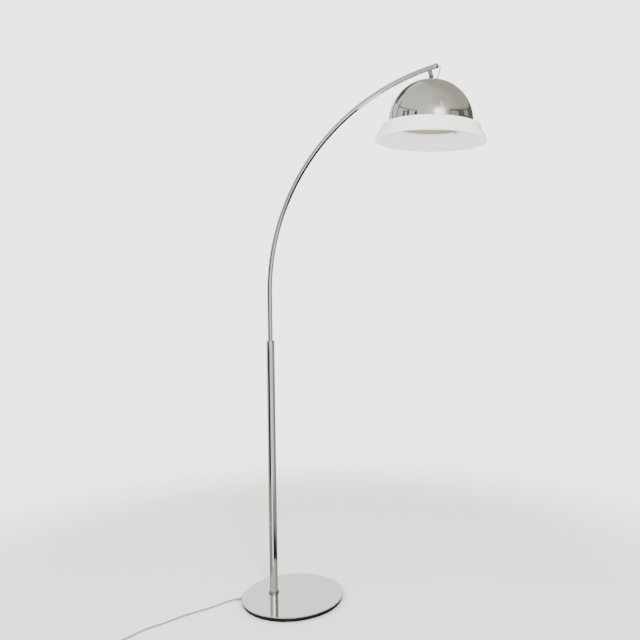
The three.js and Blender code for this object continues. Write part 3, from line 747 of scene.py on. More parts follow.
def worked(shape, tools, operation="DIFFERENCE"):
    """The shape with every tool cut out of it, or joined to it."""
    body = as_object("body", shape)
    for i, tool in enumerate(tools):
        modifier = body.modifiers.new(f"tool_{i}", "BOOLEAN")
        modifier.object = as_object(f"tool_{i}", tool)
        modifier.operation = operation
        modifier.solver = "EXACT"
    mesh = bpy.data.meshes.new_from_object(
        body.evaluated_get(bpy.context.evaluated_depsgraph_get())
    )
    for made in [body, *(m.object for m in body.modifiers)]:
        bpy.data.meshes.remove(made.data)
    result = bmesh.new()
    result.from_mesh(mesh)
    bpy.data.meshes.remove(mesh)
    bmesh.ops.dissolve_degenerate(result, edges=result.edges, dist=1e-6)
    return result


def dress(made, *names, sharp=32):
    """Smooth shading up to that many degrees, and the finishes by name."""
    mesh = made.data
    mesh.shade_smooth()
    mesh.set_sharp_from_angle(angle=radians(sharp))
    mesh.materials.clear()
    for name in names:
        mesh.materials.append(FINISHES[name].material)
    return made


def piece(node, shape, finish=None, inner=None, inside=None, sharp=32):
    """The finished mesh of a CAD node, on that node's body. Faces for which inside is true take the
    inner finish."""
    made = as_object(f"{node}_shape", shape)
    slot = SLOT_OF[node]
    dress(made, finish or slot, *([inner] if inner else []), sharp=sharp)
    if inside:
        for polygon in made.data.polygons:
            polygon.material_index = int(inside(polygon))
    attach(made, BODY_OF[node])
    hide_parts(node)
    return made


# ---- places -------------------------------------------------------------------------------------

def mm(*pairs):
    """Points given in millimetres."""
    return [tuple(value * MM for value in pair) for pair in pairs]


def tool(radius, low, high):
    """A plain round tool for drilling."""
    return plain_round(0, radius, low, high, 40)


# Sizes that more than one piece depends on.
BALL_RADIUS = 5.2 * MM
STUD_BORE = 4.3 * MM
BOLT_BORE = 3.3 * MM
SCREW_BORE = 2.3 * MM
NIPPLE_BORE = 5.3 * MM
FOOT_FLEX_BORE = 4.5 * MM
SCREW_PITCH = 0.7 * MM
DOME_TOP_BELOW_BALL = 8.5 * MM
DOME_COLLAR = 14.3 * MM
SKIRT_HEIGHT = 56.5 * MM
DOME_LEAD_HOLE = 18 * MM


class Layout:
    """Places worked out from the driving sizes, in metres."""

    def __init__(self, sizes):
        self.sizes = sizes
        self.pole = middle("pole")
        self.pole_bore = sizes.pole_radius - sizes.tube_wall
        self.insert = self.pole_bore - GAP
        self.arm_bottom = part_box("arm_tube")[0].z
        self.straight = sizes.bend_start - self.arm_bottom
        self.arm_length = self.straight + sizes.bend_radius * sizes.bend_angle
        ball = Vector(JOINTS["shade_tilt"]["pos_m"])
        stem_bend = sizes.bend_angle - sizes.stem_back / sizes.bend_radius
        self.stem = moved(*ball) @ lean(stem_bend - pi / 2)
        self.shade = moved(*ball) @ lean(sizes.shade_sway, "X") @ lean(sizes.shade_lean)
        self.arm_end = moved(*self.arm_point(self.arm_length)) @ lean(sizes.bend_angle)
        self.dome_top = -DOME_TOP_BELOW_BALL
        self.dome_centre = self.dome_top - sizes.dome_radius
        self.dome_edge = self.dome_centre - DOME_COLLAR
        self.flange = self.dome_edge - GAP
        self.rim = self.flange - SKIRT_HEIGHT

    def arm_point(self, along, outwards=0.0):
        """A point of the arm, moved off its axis towards the outside of the bend."""
        bend = max(0.0, along - self.straight) / self.sizes.bend_radius
        radius = self.sizes.bend_radius + outwards
        height = min(self.arm_bottom + along, self.sizes.bend_start)
        return Vector((self.pole.x + self.sizes.bend_radius - radius * cos(bend), 0,
                       height + radius * sin(bend)))

    def on_dome(self, distance):
        """The frame on the dome's skin, that far round from its top, towards the arm's end."""
        turn = asin(distance / self.sizes.dome_radius)
        return self.shade @ moved(0, 0, self.dome_centre) @ lean(turn)


def layout(context):
    return Layout(context.scene.lamp_sizes)


# Routes in millimetres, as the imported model's leads lie.
CORD_ROUTE = mm(
    (-167.1, -47.2, 6.5), (-181.3, -54.4, 6.5), (-197, -62.4, 6.5), (-206, -67.2, 5.7),
    (-216, -74, 3.8), (-225.5, -83, 2.7), (-235, -97, 2.6), (-246, -116, 2.6), (-263, -140, 2.6),
    (-284, -165, 2.6), (-305, -190, 2.6), (-325, -216, 2.6), (-342, -245, 2.6), (-358, -273, 2.6),
    (-374, -295, 2.6), (-390, -316, 2.6), (-406, -347, 2.6), (-419, -382, 2.6), (-431, -409, 2.8),
    (-442, -431, 5.2), (-450, -448, 9.8), (-452, -462.2, 11), (-452, -475, 11), (-452, -500, 11),
    (-452, -525, 11), (-452, -537.8, 11), (-450.6, -549, 9.6), (-445, -560, 5.4), (-435, -568, 2.9),
    (-421, -571, 2.6), (-405, -567, 2.6), (-385, -558, 2.6), (-366, -548.3, 2.6),
    (-348.6, -540.3, 2.6),
)
PLUG_ROUTE = mm(
    (-331.6, -524.4, 10.2), (-326, -514.5, 8.3), (-320, -505, 7), (-315.4, -497.6, 6.7),
    (-312.8, -491, 6.8), (-312, -484.4, 7), (-312, -478, 7),
)
LOOP_ROUTE = mm(
    (568.8, 0, 1910), (574.7, 0, 1911.2), (579.3, 0, 1911.8), (583.2, 0, 1909.2),
    (585.4, 0, 1904), (585.3, 0, 1896.5), (583, 0, 1888.5), (579.6, 0, 1880.5),
    (576.2, 0, 1872.9), (573.4, 0, 1865.2),
)
# Points of the loop: one on its upper length, and where its two lengths meet.
LOOP_BEND_STARTS, LOOP_JOINT = 3, 8
HOLDER_ROUTE = mm(
    (18.35, 0, -7.3), (17.9, 0, -11.5), (16.8, 0, -17), (13.4, 0, -23.6), (8, 0, -28.6),
    (3.2, 0, -32.6), (0.5, 0, -37.4), (0, 0, -42), (0, 0, -49),
)
# The lead's straight way out of the base: its compass, its height, and its distance from the
# pole where it comes out.
CORD_ANGLE = radians(207)
CORD_HEIGHT = 6.5 * MM
EDGE_DISTANCE = 111.6 * MM
SWITCH_CORD_HEIGHT = 11 * MM


def along_cord(context, distance, height=CORD_HEIGHT):
    """A point on the line by which the lead leaves the base."""
    pole = middle("pole")
    return Vector((pole.x + distance * cos(CORD_ANGLE), distance * sin(CORD_ANGLE), height))


def tube(line, radius, facets, steps=4):
    """A lead along a smooth line through the points, cut square, and the line it follows."""
    spine = Spine(flowing(line, steps))
    inner = [(radius, d) for d in spine.distances[1:-1]]
    ends = [(0, 0), (radius, 0), *inner, (radius, spine.length), (0, spine.length)]
    return turned(ends, facets, spine=spine), spine


# ---- the pieces ---------------------------------------------------------------------------------

class MixFinishes(bpy.types.Operator):
    """Makes the lamp's materials"""

    bl_idname = "lamp.finishes"
    bl_label = "Mix finishes"

    def execute(self, context):
        mix_finishes(context.scene.lamp_colours)
        return {"FINISHED"}


def coil_turns(sizes):
    """Points of the wound-up length: turns inwards on the floor, back out on top of them, and one
    more above, leaving outwards to the plug. Each step is turns so far, radius and height."""
    centre = middle("cord_coil")
    join = atan2(CORD_ROUTE[-1][1] - centre.y, CORD_ROUTE[-1][0] - centre.x)
    outer, pitch = sizes.coil_radius, sizes.coil_pitch
    middle_turn, inner = outer - pitch, outer - 2 * pitch
    first = heights("cord_coil")[0] + sizes.diameter / 2
    second, third = first + pitch, first + 2 * pitch
    steps = [
        (0.0, 38.9 * MM, first), (0.12, outer, first), (0.8, outer, first),
        (1.0, middle_turn, first), (1.8, middle_turn, first), (2.0, inner, first),
        (2.45, inner, first), (2.75, inner, second), (3.15, inner, second),
        (3.45, middle_turn, second), (4.15, middle_turn, second), (4.45, outer, second),
        (4.85, outer, second), (5.15, outer, third), (5.82, outer, third),
        (5.95, outer + 3.3 * MM, third), (6.0, outer + 4.5 * MM, 13.2 * MM),
        (6.05, outer + 5.3 * MM, 12 * MM),
    ]
    per_turn, leaving = 20, [5.9, 5.95, 6.0, 6.05]
    turns = [i / per_turn for i in range(1, round(5.85 * per_turn))] + leaving
    points = []
    for turn in turns:
        before = max(step for step in steps if step[0] <= turn)
        after = min((step for step in steps if step[0] > turn), default=before)
        share = (turn - before[0]) / ((after[0] - before[0]) or 1)
        share = share * share * (3 - 2 * share)
        radius, height = (before[i] + (after[i] - before[i]) * share for i in (1, 2))
        angle = join + 2 * pi * turn
        x, y = centre.x + radius * cos(angle), centre.y + radius * sin(angle)
        points.append(Vector((x, y, height)))
    return points


class MakeMainsLead(bpy.types.Operator):
    """Makes the mains lead, its strain relief, foot switch, tie and plug"""

    bl_idname = "lamp.mains_lead"
    bl_label = "Mains lead"

    def execute(self, context):
        sizes = context.scene.lead_sizes
        on_lead = [
            self.strain_relief(context, sizes), *self.foot_switch(sizes), self.tie(),
            *self.plug(sizes),
        ]
        route = [*map(Vector, CORD_ROUTE), *coil_turns(sizes), *map(Vector, PLUG_ROUTE)]
        shape, spine = tube(route, sizes.diameter / 2, sizes.facets, 3)
        lead = piece("mains_cord", shape, sharp=60)
        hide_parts("switch_tail", "cord_coil", "plug_tail")
        return {"FINISHED"}

    @staticmethod
    def strain_relief(context, sizes):
        bore = sizes.diameter / 2 + GAP
        inner_end, outer_end, rib_depth = -16, 25.5, 0.75 * MM
        ribs = []
        for k in range(6):
            z, r = (7 + 3 * k) * MM, (4.6 - 0.17 * k) * MM
            ribs += [(r, z - 0.9 * MM), (r, z + 0.9 * MM), (r - rib_depth, z + 1.2 * MM),
                     (r - rib_depth, z + 1.8 * MM)]
        flange = mm((3.6, inner_end), (3.6, 1.5), (5.2, 1.5), (5.2, 3.5), (4.6, 5.2))
        outline = [
            (bore, inner_end * MM), *flange, *ribs, (3.5 * MM, outer_end * MM),
            (bore, outer_end * MM),
        ]
        place = moved(*along_cord(context, EDGE_DISTANCE))
        relief = placed(turned(outline, 48, 0.3 * MM), place, lean(CORD_ANGLE, "Z"), lean(pi / 2))
        return piece("strain_relief", relief)

    @staticmethod
    def foot_switch(sizes):
        at = middle("switch_base")
        low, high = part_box("switch_base")
        length, width = high.y - low.y, high.x - low.x
        here = moved(at.x, at.y, 0)

        def stack(profile):
            return lofted(lambda inset: stadium(length, width, inset), profile)

        wall = 2 * MM
        tray = stack([
            (1.4 * MM, low.z), (0.4 * MM, low.z + 0.5 * MM), (0, low.z + 1.5 * MM),
            (0, high.z - 0.3 * MM), (0.3 * MM, high.z), (wall, high.z), (wall, 2.4 * MM),
        ])
        made = [piece("switch_base", placed(tray, here))]

        low, high = heights("switch_cover")
        ceiling = high - 4.5 * MM
        crown = 4 * MM
        rounding = [pi / 2 * i / 7 for i in range(8)]
        shell = stack([
            (wall, ceiling), (wall, low), (0.3 * MM, low), (0, low + 0.3 * MM),
            *((crown - crown * cos(a), high - crown + crown * sin(a)) for a in rounding),
        ])
        button = reach("switch_button", X) - 1.8 * MM
        nozzle = mm((0, 0), (4.2, 0), (4.2, 4), (3.5, 9), (0, 9))
        start = length / 2 - 4 * MM
        nozzles = [
            placed(turned(nozzle, 40, 0.5 * MM), moved(0, side * start, SWITCH_CORD_HEIGHT),
                   lean(-side * pi / 2, "X"))
            for side in (1, -1)
        ]
        shell = worked(shell, nozzles, "UNION")
        bore = placed(tool(sizes.diameter / 2 + 0.2 * MM, -length, length),
                      moved(0, 0, SWITCH_CORD_HEIGHT), lean(pi / 2, "X"))
        window = tool(button + 0.4 * MM, ceiling - 5 * MM, high + 5 * MM)
        made.append(piece("switch_cover", placed(worked(shell, [window, bore]), here)))

        top = heights("switch_button")[1]
        flange, flange_radius = ceiling - GAP, button + 1.8 * MM
        grooves = []
        for k in (4, 3, 2, 1):
            r = k * 2.3 * MM
            grooves += [(r + 0.55 * MM, top - 0.35 * MM), (r + 0.25 * MM, top - 0.85 * MM),
                        (r - 0.25 * MM, top - 0.85 * MM), (r - 0.55 * MM, top - 0.3 * MM)]
        cap = turned([
            (0, flange - 2 * MM), (flange_radius, flange - 2 * MM), (flange_radius, flange),
            (button, flange), (button, top - 2 * MM), (button - 1.5 * MM, top - 0.5 * MM), *grooves,
            (0, top - 0.2 * MM),
        ], 72, 0.25 * MM)
        made.append(piece("switch_button", placed(cap, here)))

        low, high = heights("switch_spring")
        wire, coil, turns, per_turn = 0.5 * MM, 6 * MM, 4, 20
        rise = high - low - 2 * wire
        helix = [
            Vector((coil * cos(a), coil * sin(a), low + wire + rise * a / (2 * pi * turns)))
            for a in (2 * pi * i / per_turn for i in range(turns * per_turn + 1))
        ]
        spring = piece("switch_spring", placed(tube(helix, wire, 10, 1)[0], here))
        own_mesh(spring)
        return [*made, spring]

    @staticmethod
    def tie():
        coil = middle("cord_coil")
        low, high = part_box("coil_tie")

        def loop(inset, corner, depth, edge):
            left, right, bottom, top = low.x + inset, high.x - inset, low.z + inset, high.z - inset
            outline = [(left, bottom), (right, bottom), (right, top), (left, top)]
            return slab(softened(outline, corner, True, 5), depth, edge)

        strap = loop(0, 3 * MM, high.y - low.y, 0.2 * MM)
        gap = loop(0.65 * MM, 2.6 * MM, 20 * MM, 0.3 * MM)
        return piece("coil_tie", placed(worked(strap, [gap]), moved(0, coil.y, 0)))

    @staticmethod
    def plug(sizes):
        low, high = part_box("plug_body")
        at = Vector(((low.x + high.x) / 2, low.y, (low.z + high.z) / 2))
        outline = mm((4.6, 0, 0), (5.3, 5, 0), (6.8, 9.5, 0), (9.6, 15.5, 0), (12.2, 21.5, 0),
                     (12.7, 27, 0), (12.7, 34.2, 0), (12.0, 35, 0))
        widths = flowing(outline, 5)
        full = (high.z - low.z) / 2
        first_step_of_face, grip_start, grip_end, grip_pitch = 30, 6 * MM, 19 * MM, 2.6 * MM

        def section(i):
            width, distance = widths[i].x, widths[i].y
            gripped = grip_start < distance < grip_end
            grip = 0.45 * MM * max(0, sin(2 * pi * distance / grip_pitch)) * gripped
            eased = width < 12.1 * MM and i > first_step_of_face
            height = full * (0.70 + 0.30 * min(1, distance / (16 * MM))) - eased * 0.6 * MM
            return rounded_box(2 * (width - grip), 2 * height, 3.4 * MM, 6)

        body = lofted(section, [(i, point.y) for i, point in enumerate(widths)])
        bore = tool(sizes.diameter / 2 + 0.15 * MM, -5 * MM, 6.5 * MM)
        ahead = lean(-pi / 2, "X")
        made = [piece("plug_body", placed(worked(body, [bore]), moved(*at), ahead))]
        for i in (1, 2):
            pin_low, pin_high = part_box(f"plug_pin_{i}")
            outline = mm((0, 0), (2, 0), (2, 9.6), (1.9, 9.9), (1.9, 16.8))
            outline += [(1.9 * MM * cos(a), (16.8 + 2.2 * sin(a)) * MM) for a in (0.4, 0.8, 1.2)]
            pin = turned([*outline, (0, 19 * MM)], 40)
            place = moved((pin_low.x + pin_high.x) / 2, pin_low.y, at.z)
            sleeve_end = pin_low.y + 9.7 * MM
            made.append(piece(
                f"plug_pin_{i}", placed(pin, place, ahead), inner="ivory_plastic",
                inside=lambda face: face.center.y < sleeve_end,
            ))
        return made


def foot_screws():
    """The places of the three screws in the base, on the floor."""
    places = (middle(f"foot_screw_{i}") for i in (1, 2, 3))
    return [moved(place.x, place.y, 0) for place in places]


class MakeBase(bpy.types.Operator):
    """Makes the felt pad, the iron weight, the chromed cover and the foot screws"""

    bl_idname = "lamp.base"
    bl_label = "Base"

    def execute(self, context):
        low, high = heights("foot_screw_1")
        head = low + 3 * MM
        shank, wide = 2 * MM, reach("foot_screw_1", X)
        above = 30 * MM
        centre = moved(middle("pole").x, 0, 0)

        def drills(radius, top):
            return [placed(tool(radius, -MM, top), place) for place in foot_screws()]

        def lead_hole():
            return placed(tool(6 * MM, 5 * MM, above), centre)

        pad = heights("base_pad")[1]
        piece("base_pad", plain_round(0, reach("base_pad", X), 0, pad, 160, 0.7 * MM))

        bottom, top = heights("base_weight")
        radius = reach("base_weight", X)
        weight = turned([
            (0, bottom), (radius - 2 * MM, bottom), (radius, bottom + 2 * MM),
            (radius, top - 1.2 * MM), (radius - 1.2 * MM, top), (0, top),
        ], 200, 0.8 * MM)
        run, groove = EDGE_DISTANCE + 20 * MM, 8 * MM
        channel = slab([(0, -groove), (run, -groove), (run, bottom + groove), (0, bottom + groove)],
                       groove)
        piece("base_weight", worked(weight, [
            placed(channel, centre, lean(CORD_ANGLE, "Z")), lead_hole(),
            *drills(shank + GAP, above), *drills(wide + 0.5 * MM, head + GAP),
        ]))

        bottom, top = heights("base_cover")
        radius, edge = reach("base_cover", X), (top - bottom) / 2
        cover = turned([
            (0, bottom), (radius - 2 * edge, bottom),
            *arc(radius - edge, bottom + edge, edge, -90, 90, 10), (radius - 2 * edge, top),
            (0, top),
        ], 256)
        cover = worked(cover, [lead_hole(), *drills(shank + GAP, above)])
        piece("base_cover", cover, "worn_chrome")

        socket, deep = 1.7 * MM, low + 1.8 * MM
        for i, place in enumerate(foot_screws()):
            screw = turned([
                (0, deep), (socket, deep), (socket, low), (wide, low), (wide, head), (shank, head),
                (shank, high - MM), (shank - 0.7 * MM, high), (0, high),
            ], 40, 0.3 * MM)
            threaded(screw, head + MM, high - MM, 1.6 * MM, 0.3 * MM, SCREW_PITCH)
            piece(f"foot_screw_{i + 1}", placed(screw, place))
        return {"FINISHED"}


class MakePole(bpy.types.Operator):
    """Makes the upright tube, its collar, insert, top ring and the stop that the arm stands on"""

    bl_idname = "lamp.pole"
    bl_label = "Pole"

    def execute(self, context):
        at = layout(context)
        sizes = at.sizes
        here = moved(at.pole.x, at.pole.y, 0)
        low, high = heights("pole")
        upright = plain_round(at.pole_bore, sizes.pole_radius, low, high, 96, 0.35 * MM)
        piece("pole", placed(upright, here))

        low, high = heights("foot_collar")
        wide, bore = reach("foot_collar", X), sizes.pole_radius + GAP
        collar = turned([
            (bore, low), (wide, low), (wide, low + 3.8 * MM), (wide - 1.3 * MM, high), (bore, high),
        ], 96, 0.6 * MM)
        # The collar takes the chrome darkened to half, painted shade.
        piece("foot_collar", placed(collar, here), "painted_shade_chrome")

        low, high = heights("pole_foot_insert")
        insert = plain_round(FOOT_FLEX_BORE, at.insert, low, high, soften=0.5 * MM)
        holes = [placed(tool(SCREW_BORE, 0, high + MM), place) for place in foot_screws()]
        piece("pole_foot_insert", worked(placed(insert, here), holes))

        low, high = heights("pole_top_bush")
        top, bore = heights("pole")[1], sizes.arm_radius + GAP
        ring = turned([
            (bore, low), (at.insert, low), (at.insert, top + GAP), (sizes.pole_radius, top + GAP),
            (sizes.pole_radius, high - MM), (sizes.pole_radius - 1.4 * MM, high), (bore, high),
        ], 96, 0.4 * MM)
        piece("pole_top_bush", placed(ring, here))

        low, high = heights("arm_stop")
        stop = plain_round(FOOT_FLEX_BORE, at.insert, low, high, soften=0.8 * MM)
        piece("arm_stop", placed(stop, here))
        return {"FINISHED"}


class MakeArm(bpy.types.Operator):
    """Makes the bent tube, its foot bush and the grommet in its open end"""

    bl_idname = "lamp.arm"
    bl_label = "Arm"

    def execute(self, context):
        at = layout(context)
        sizes = at.sizes
        bore = sizes.arm_radius - sizes.tube_wall
        steps = 160
        stations = [at.arm_length * i / steps for i in range(steps + 1)]
        spine = Spine([at.arm_point(s) for s in stations])
        spine.distances = stations
        lip = 0.35 * MM
        inner = stations[1:-1]
        wall = [
            (bore + lip, 0), (sizes.arm_radius - lip, 0), (sizes.arm_radius, lip),
            *((sizes.arm_radius, s) for s in inner), (sizes.arm_radius, at.arm_length - lip),
            (sizes.arm_radius - lip, at.arm_length), (bore + lip, at.arm_length),
            (bore, at.arm_length - lip), *((bore, s) for s in reversed(inner)), (bore, lip),
        ]
        underside = sizes.stem_length - sizes.arm_radius
        bolt_hole = placed(tool(BOLT_BORE, underside - 2 * MM, sizes.stem_length), at.stem)
        piece("arm_tube", worked(turned(wall, 64, spine=spine), [bolt_hole]), sharp=50)

        low, high = heights("arm_foot_bush")
        bush = plain_round(sizes.arm_radius + GAP, at.insert, low, high, soften=0.6 * MM)
        piece("arm_foot_bush", placed(bush, moved(at.pole.x, 0, 0)))

        flex_bore = context.scene.lead_sizes.flex_diameter / 2 + GAP
        spigot, flange = bore - 0.9 * MM, sizes.arm_radius + 0.8 * MM
        grommet = turned([
            (flex_bore, -9 * MM), (spigot, -9 * MM), (spigot, GAP), (flange, GAP),
            (flange, 2.2 * MM), (flange - 1.2 * MM, 3.4 * MM), (flex_bore + 1.2 * MM, 3.4 * MM),
            (flex_bore, 2.4 * MM),
        ], 64, 0.5 * MM)
        piece("arm_end_grommet", placed(grommet, at.arm_end))
        return {"FINISHED"}


class MakeBallJoint(bpy.types.Operator):
    """Makes the stem under the arm, its saddle nut and the ball joint that carries the shade"""

    bl_idname = "lamp.ball_joint"
    bl_label = "Ball joint"

    def execute(self, context):
        at = layout(context)
        sizes = at.sizes
        stem_radius, cavity, lip = 7.8 * MM, 6.6 * MM, 2 * MM
        split = 2 * lip
        top = sizes.stem_length

        def angle_at(z):
            return degrees(asin(z / cavity))

        def across_arm(radius, length):
            bar = plain_round(0, radius, -length / 2, length / 2)
            return placed(bar, moved(0, 0, top), lean(pi / 2))

        socket = turned([
            (0, cavity), *arc(0, 0, cavity, 84, angle_at(split + GAP), 6),
            (stem_radius, split + GAP), (stem_radius, top), (0, top),
        ], 72)
        socket = worked(socket, [across_arm(sizes.arm_radius + GAP, 40 * MM)])
        bolt_low, bolt_high = top - sizes.arm_radius - 4 * MM, top - 2 * MM
        bolt = plain_round(0, 3 * MM, bolt_low, bolt_high, 40, 0.4 * MM)
        # The socket takes the chrome darkened to half, painted shade.
        piece("ball_socket", placed(worked(socket, [bolt], "UNION"), at.stem), "painted_shade_chrome")

        lip_angle = degrees(asin(lip / stem_radius))
        cap = turned([
            *arc(0, 0, cavity, angle_at(split), angle_at(-lip), 10),
            *arc(0, 0, stem_radius, -lip_angle, 0, 4), (stem_radius, split),
        ], 144)
        rippled(cap, -0.2 * MM, split, 7.2 * MM, 0.35 * MM, 36)
        piece("ball_cap", placed(cap, at.stem), "blackened_steel")

        seat, side, beyond = top - 2.5 * MM, 20 * MM, 60 * MM
        nut = worked(across_arm(sizes.arm_radius - sizes.tube_wall - GAP - 0.15 * MM, 14 * MM), [
            slab([(-side, seat), (side, seat), (side, beyond), (-side, beyond)], 2 * side),
            tool(BOLT_BORE, 0, top + 5 * MM),
        ])
        piece("saddle_nut", placed(nut, at.stem))

        ball, bottom, rim = BALL_RADIUS, -23, 68
        outside = arc(0, 0, cavity - GAP, bottom, rim, 10)
        liner = turned([*outside, *arc(0, 0, ball + GAP, rim, bottom, 10)], 64)
        piece("ball_liner", placed(liner, at.stem))

        neck, collar, shank = 2.4 * MM, 7 * MM, 4 * MM
        shoulder = at.dome_top + GAP
        end = -23 * MM
        stud = turned([
            (0, ball), *arc(0, 0, ball, 84, -90 + degrees(asin(neck / ball)), 14),
            (neck, -6.4 * MM), (3.4 * MM, -6.9 * MM), (collar, shoulder + 0.9 * MM),
            (collar, shoulder), (shank, shoulder), (shank, end + 0.8 * MM), (3.3 * MM, end),
            (0, end),
        ], 64)
        threaded(stud, end + 0.6 * MM, shoulder - 3 * MM, 3.6 * MM, 0.45 * MM, 1.25 * MM)
        piece("ball_stud", placed(stud, at.shade), "blackened_steel")
        return {"FINISHED"}


def hex_nut(across_flats, bore, low, high):
    """A six-sided nut with eased edges."""
    ease = 0.5 * MM

    def hexagon(inset):
        radius = across_flats / sqrt(3) - inset
        return [(radius * cos(pi / 3 * k), radius * sin(pi / 3 * k)) for k in range(6)]

    block = lofted(hexagon, [(2 * ease, low), (0, low + ease), (0, high - ease), (2 * ease, high)])
    return worked(block, [tool(bore, low - MM, high + MM)])


class MakeDome(bpy.types.Operator):
    """Makes the spun dome, painted inside, with the nut that holds it and the lead's grommet"""

    bl_idname = "lamp.dome"
    bl_label = "Dome"

    def execute(self, context):
        at = layout(context)
        sizes = at.sizes
        outer, inner = sizes.dome_radius, sizes.dome_radius - sizes.dome_wall
        hole = 90 - degrees(asin(STUD_BORE / outer))
        centre, edge = at.dome_centre, at.dome_edge
        shell = turned([
            (outer - 0.6 * MM, edge), (outer - 0.15 * MM, edge + 0.3 * MM),
            (outer, edge + 1.2 * MM), *arc(0, centre, outer, 0, hole, 48),
            *arc(0, centre, inner, hole, 0, 48), (inner, edge + 0.8 * MM),
            (inner + 0.25 * MM, edge),
        ], 192)
        lead_hole = placed(tool(3.6 * MM, outer - 6 * MM, outer + 6 * MM), moved(0, 0, centre),
                           lean(asin(DOME_LEAD_HOLE / outer)))
        middle_of_dome = at.shade @ Vector((0, 0, centre))
        piece("dome", placed(worked(shell, [lead_hole]), at.shade), inner="dome_lining",
              inside=lambda face: face.normal.dot(face.center - middle_of_dome) < 0, sharp=40)

        flex_bore = context.scene.lead_sizes.flex_diameter / 2 + GAP
        top, under = outer + GAP, inner - 0.8 * MM
        flange, waist = 5.5 * MM, 3.3 * MM
        grommet = turned([
            (flex_bore, under - 1.4 * MM), (flange, under - 1.4 * MM), (flange, under),
            (waist, under), (waist, top), (flange, top), (5.2 * MM, top + MM),
            (4.4 * MM, top + 1.5 * MM), (flex_bore, top + 1.5 * MM),
        ], 56, 0.3 * MM)
        piece("dome_grommet", placed(grommet, at.on_dome(DOME_LEAD_HOLE)))

        top = at.dome_top - sizes.dome_wall - 0.8 * MM
        washer = plain_round(STUD_BORE, 9 * MM, top - MM, top, soften=0.25 * MM)
        piece("stud_washer", placed(washer, at.shade))
        nut = hex_nut(13 * MM, STUD_BORE, -20.2 * MM, -14.3 * MM)
        piece("stud_nut", placed(nut, at.shade))
        return {"FINISHED"}


class MakeSkirt(bpy.types.Operator):
    """Makes the opal skirt, and the clips and thumb screws that hold it"""

    bl_idname = "lamp.skirt"
    bl_label = "Skirt"

    def execute(self, context):
        at = layout(context)
        sizes = at.sizes
        wall = sizes.skirt_wall
        rim, shoulder, corner, inner_edge = 195 * MM, 174.2 * MM, 8 * MM, 134 * MM
        height = at.flange - at.rim

        def line(inset):
            """The skirt's outline from its rim to its inner edge, that far inside the skin."""
            knots = [Vector(p) for p in (
                (rim - inset, 0), (rim - 2.5 * MM - inset, 22 * MM),
                (shoulder + 1.8 * MM - inset, 35 * MM), (shoulder - inset, height - corner),
            )]
            flare, steps = [], 24
            for i in range(steps):
                t = i / steps
                a, b, c = (p.lerp(q, t) for p, q in zip(knots, knots[1:]))
                point = a.lerp(b, t).lerp(b.lerp(c, t), t)
                flare.append((point.x, at.rim + point.y))
            bend = arc(shoulder - corner, at.flange - corner, corner - inset, 0, 90, 10)
            return [*flare, *bend, (inner_edge + 0.6 * MM, at.flange - inset)]

        outer, inner = line(0), line(wall)
        lip = 0.9 * MM
        outer[0] = (outer[0][0] - 0.05 * MM, at.rim + lip)
        inner[0] = (inner[0][0] + 0.05 * MM, at.rim + lip)
        rounded_rim = [(inner[0][0] + lip, at.rim), (outer[0][0] - lip, at.rim)]
        rounded_edge = [(inner_edge, at.flange - lip), (inner_edge, at.flange - wall + lip)]
        outline = [*outer, *rounded_edge, *reversed(inner), *rounded_rim]
        shell = turned(softened(outline, 0.8 * MM, True), 224)
        angles = [pi * (1 + 2 * i) / 3 for i in range(3)]
        hold = 140 * MM

        def drill():
            return placed(tool(SCREW_BORE, at.rim, at.dome_centre), moved(hold, 0, 0))

        shell = worked(shell, [placed(drill(), lean(a, "Z")) for a in angles])
        piece("skirt", placed(shell, at.shade), sharp=40)

        foot = at.flange + GAP
        back = sizes.dome_radius - sizes.dome_wall - 1.1 * MM
        sheet, tall = 1.5 * MM, 12 * MM
        angle_iron = softened([
            (hold - 5 * MM, foot), (back, foot), (back, foot + tall), (back - sheet, foot + tall),
            (back - sheet, foot + sheet), (hold - 5 * MM, foot + sheet),
        ], 0.7 * MM, True, 4)
        head = at.flange - wall - GAP
        wide, shank, knurls = 5 * MM, 2 * MM, 30
        for i, angle in enumerate(angles):
            turn = lean(angle, "Z")
            clip = worked(slab(angle_iron, 14 * MM), [drill()])
            piece(f"skirt_clip_{i + 1}", placed(clip, at.shade, turn))
            screw = turned([
                (0, head - 3.4 * MM), (1.6 * MM, head - 3.9 * MM), (4.4 * MM, head - 4 * MM),
                (wide, head - 3.4 * MM), (wide, head - 0.4 * MM), (4.6 * MM, head),
                (shank, head), (shank, head + 9.4 * MM), (1.5 * MM, head + 10 * MM),
                (0, head + 10 * MM),
            ], 120)
            rippled(screw, head - 3.6 * MM, head - 0.2 * MM, 4.2 * MM, 0.4 * MM, knurls)
            threaded(screw, head + MM, head + 9.4 * MM, 1.7 * MM, 0.25 * MM, SCREW_PITCH)
            piece(f"skirt_screw_{i + 1}", placed(screw, at.shade, turn, moved(hold, 0, 0)))
        return {"FINISHED"}


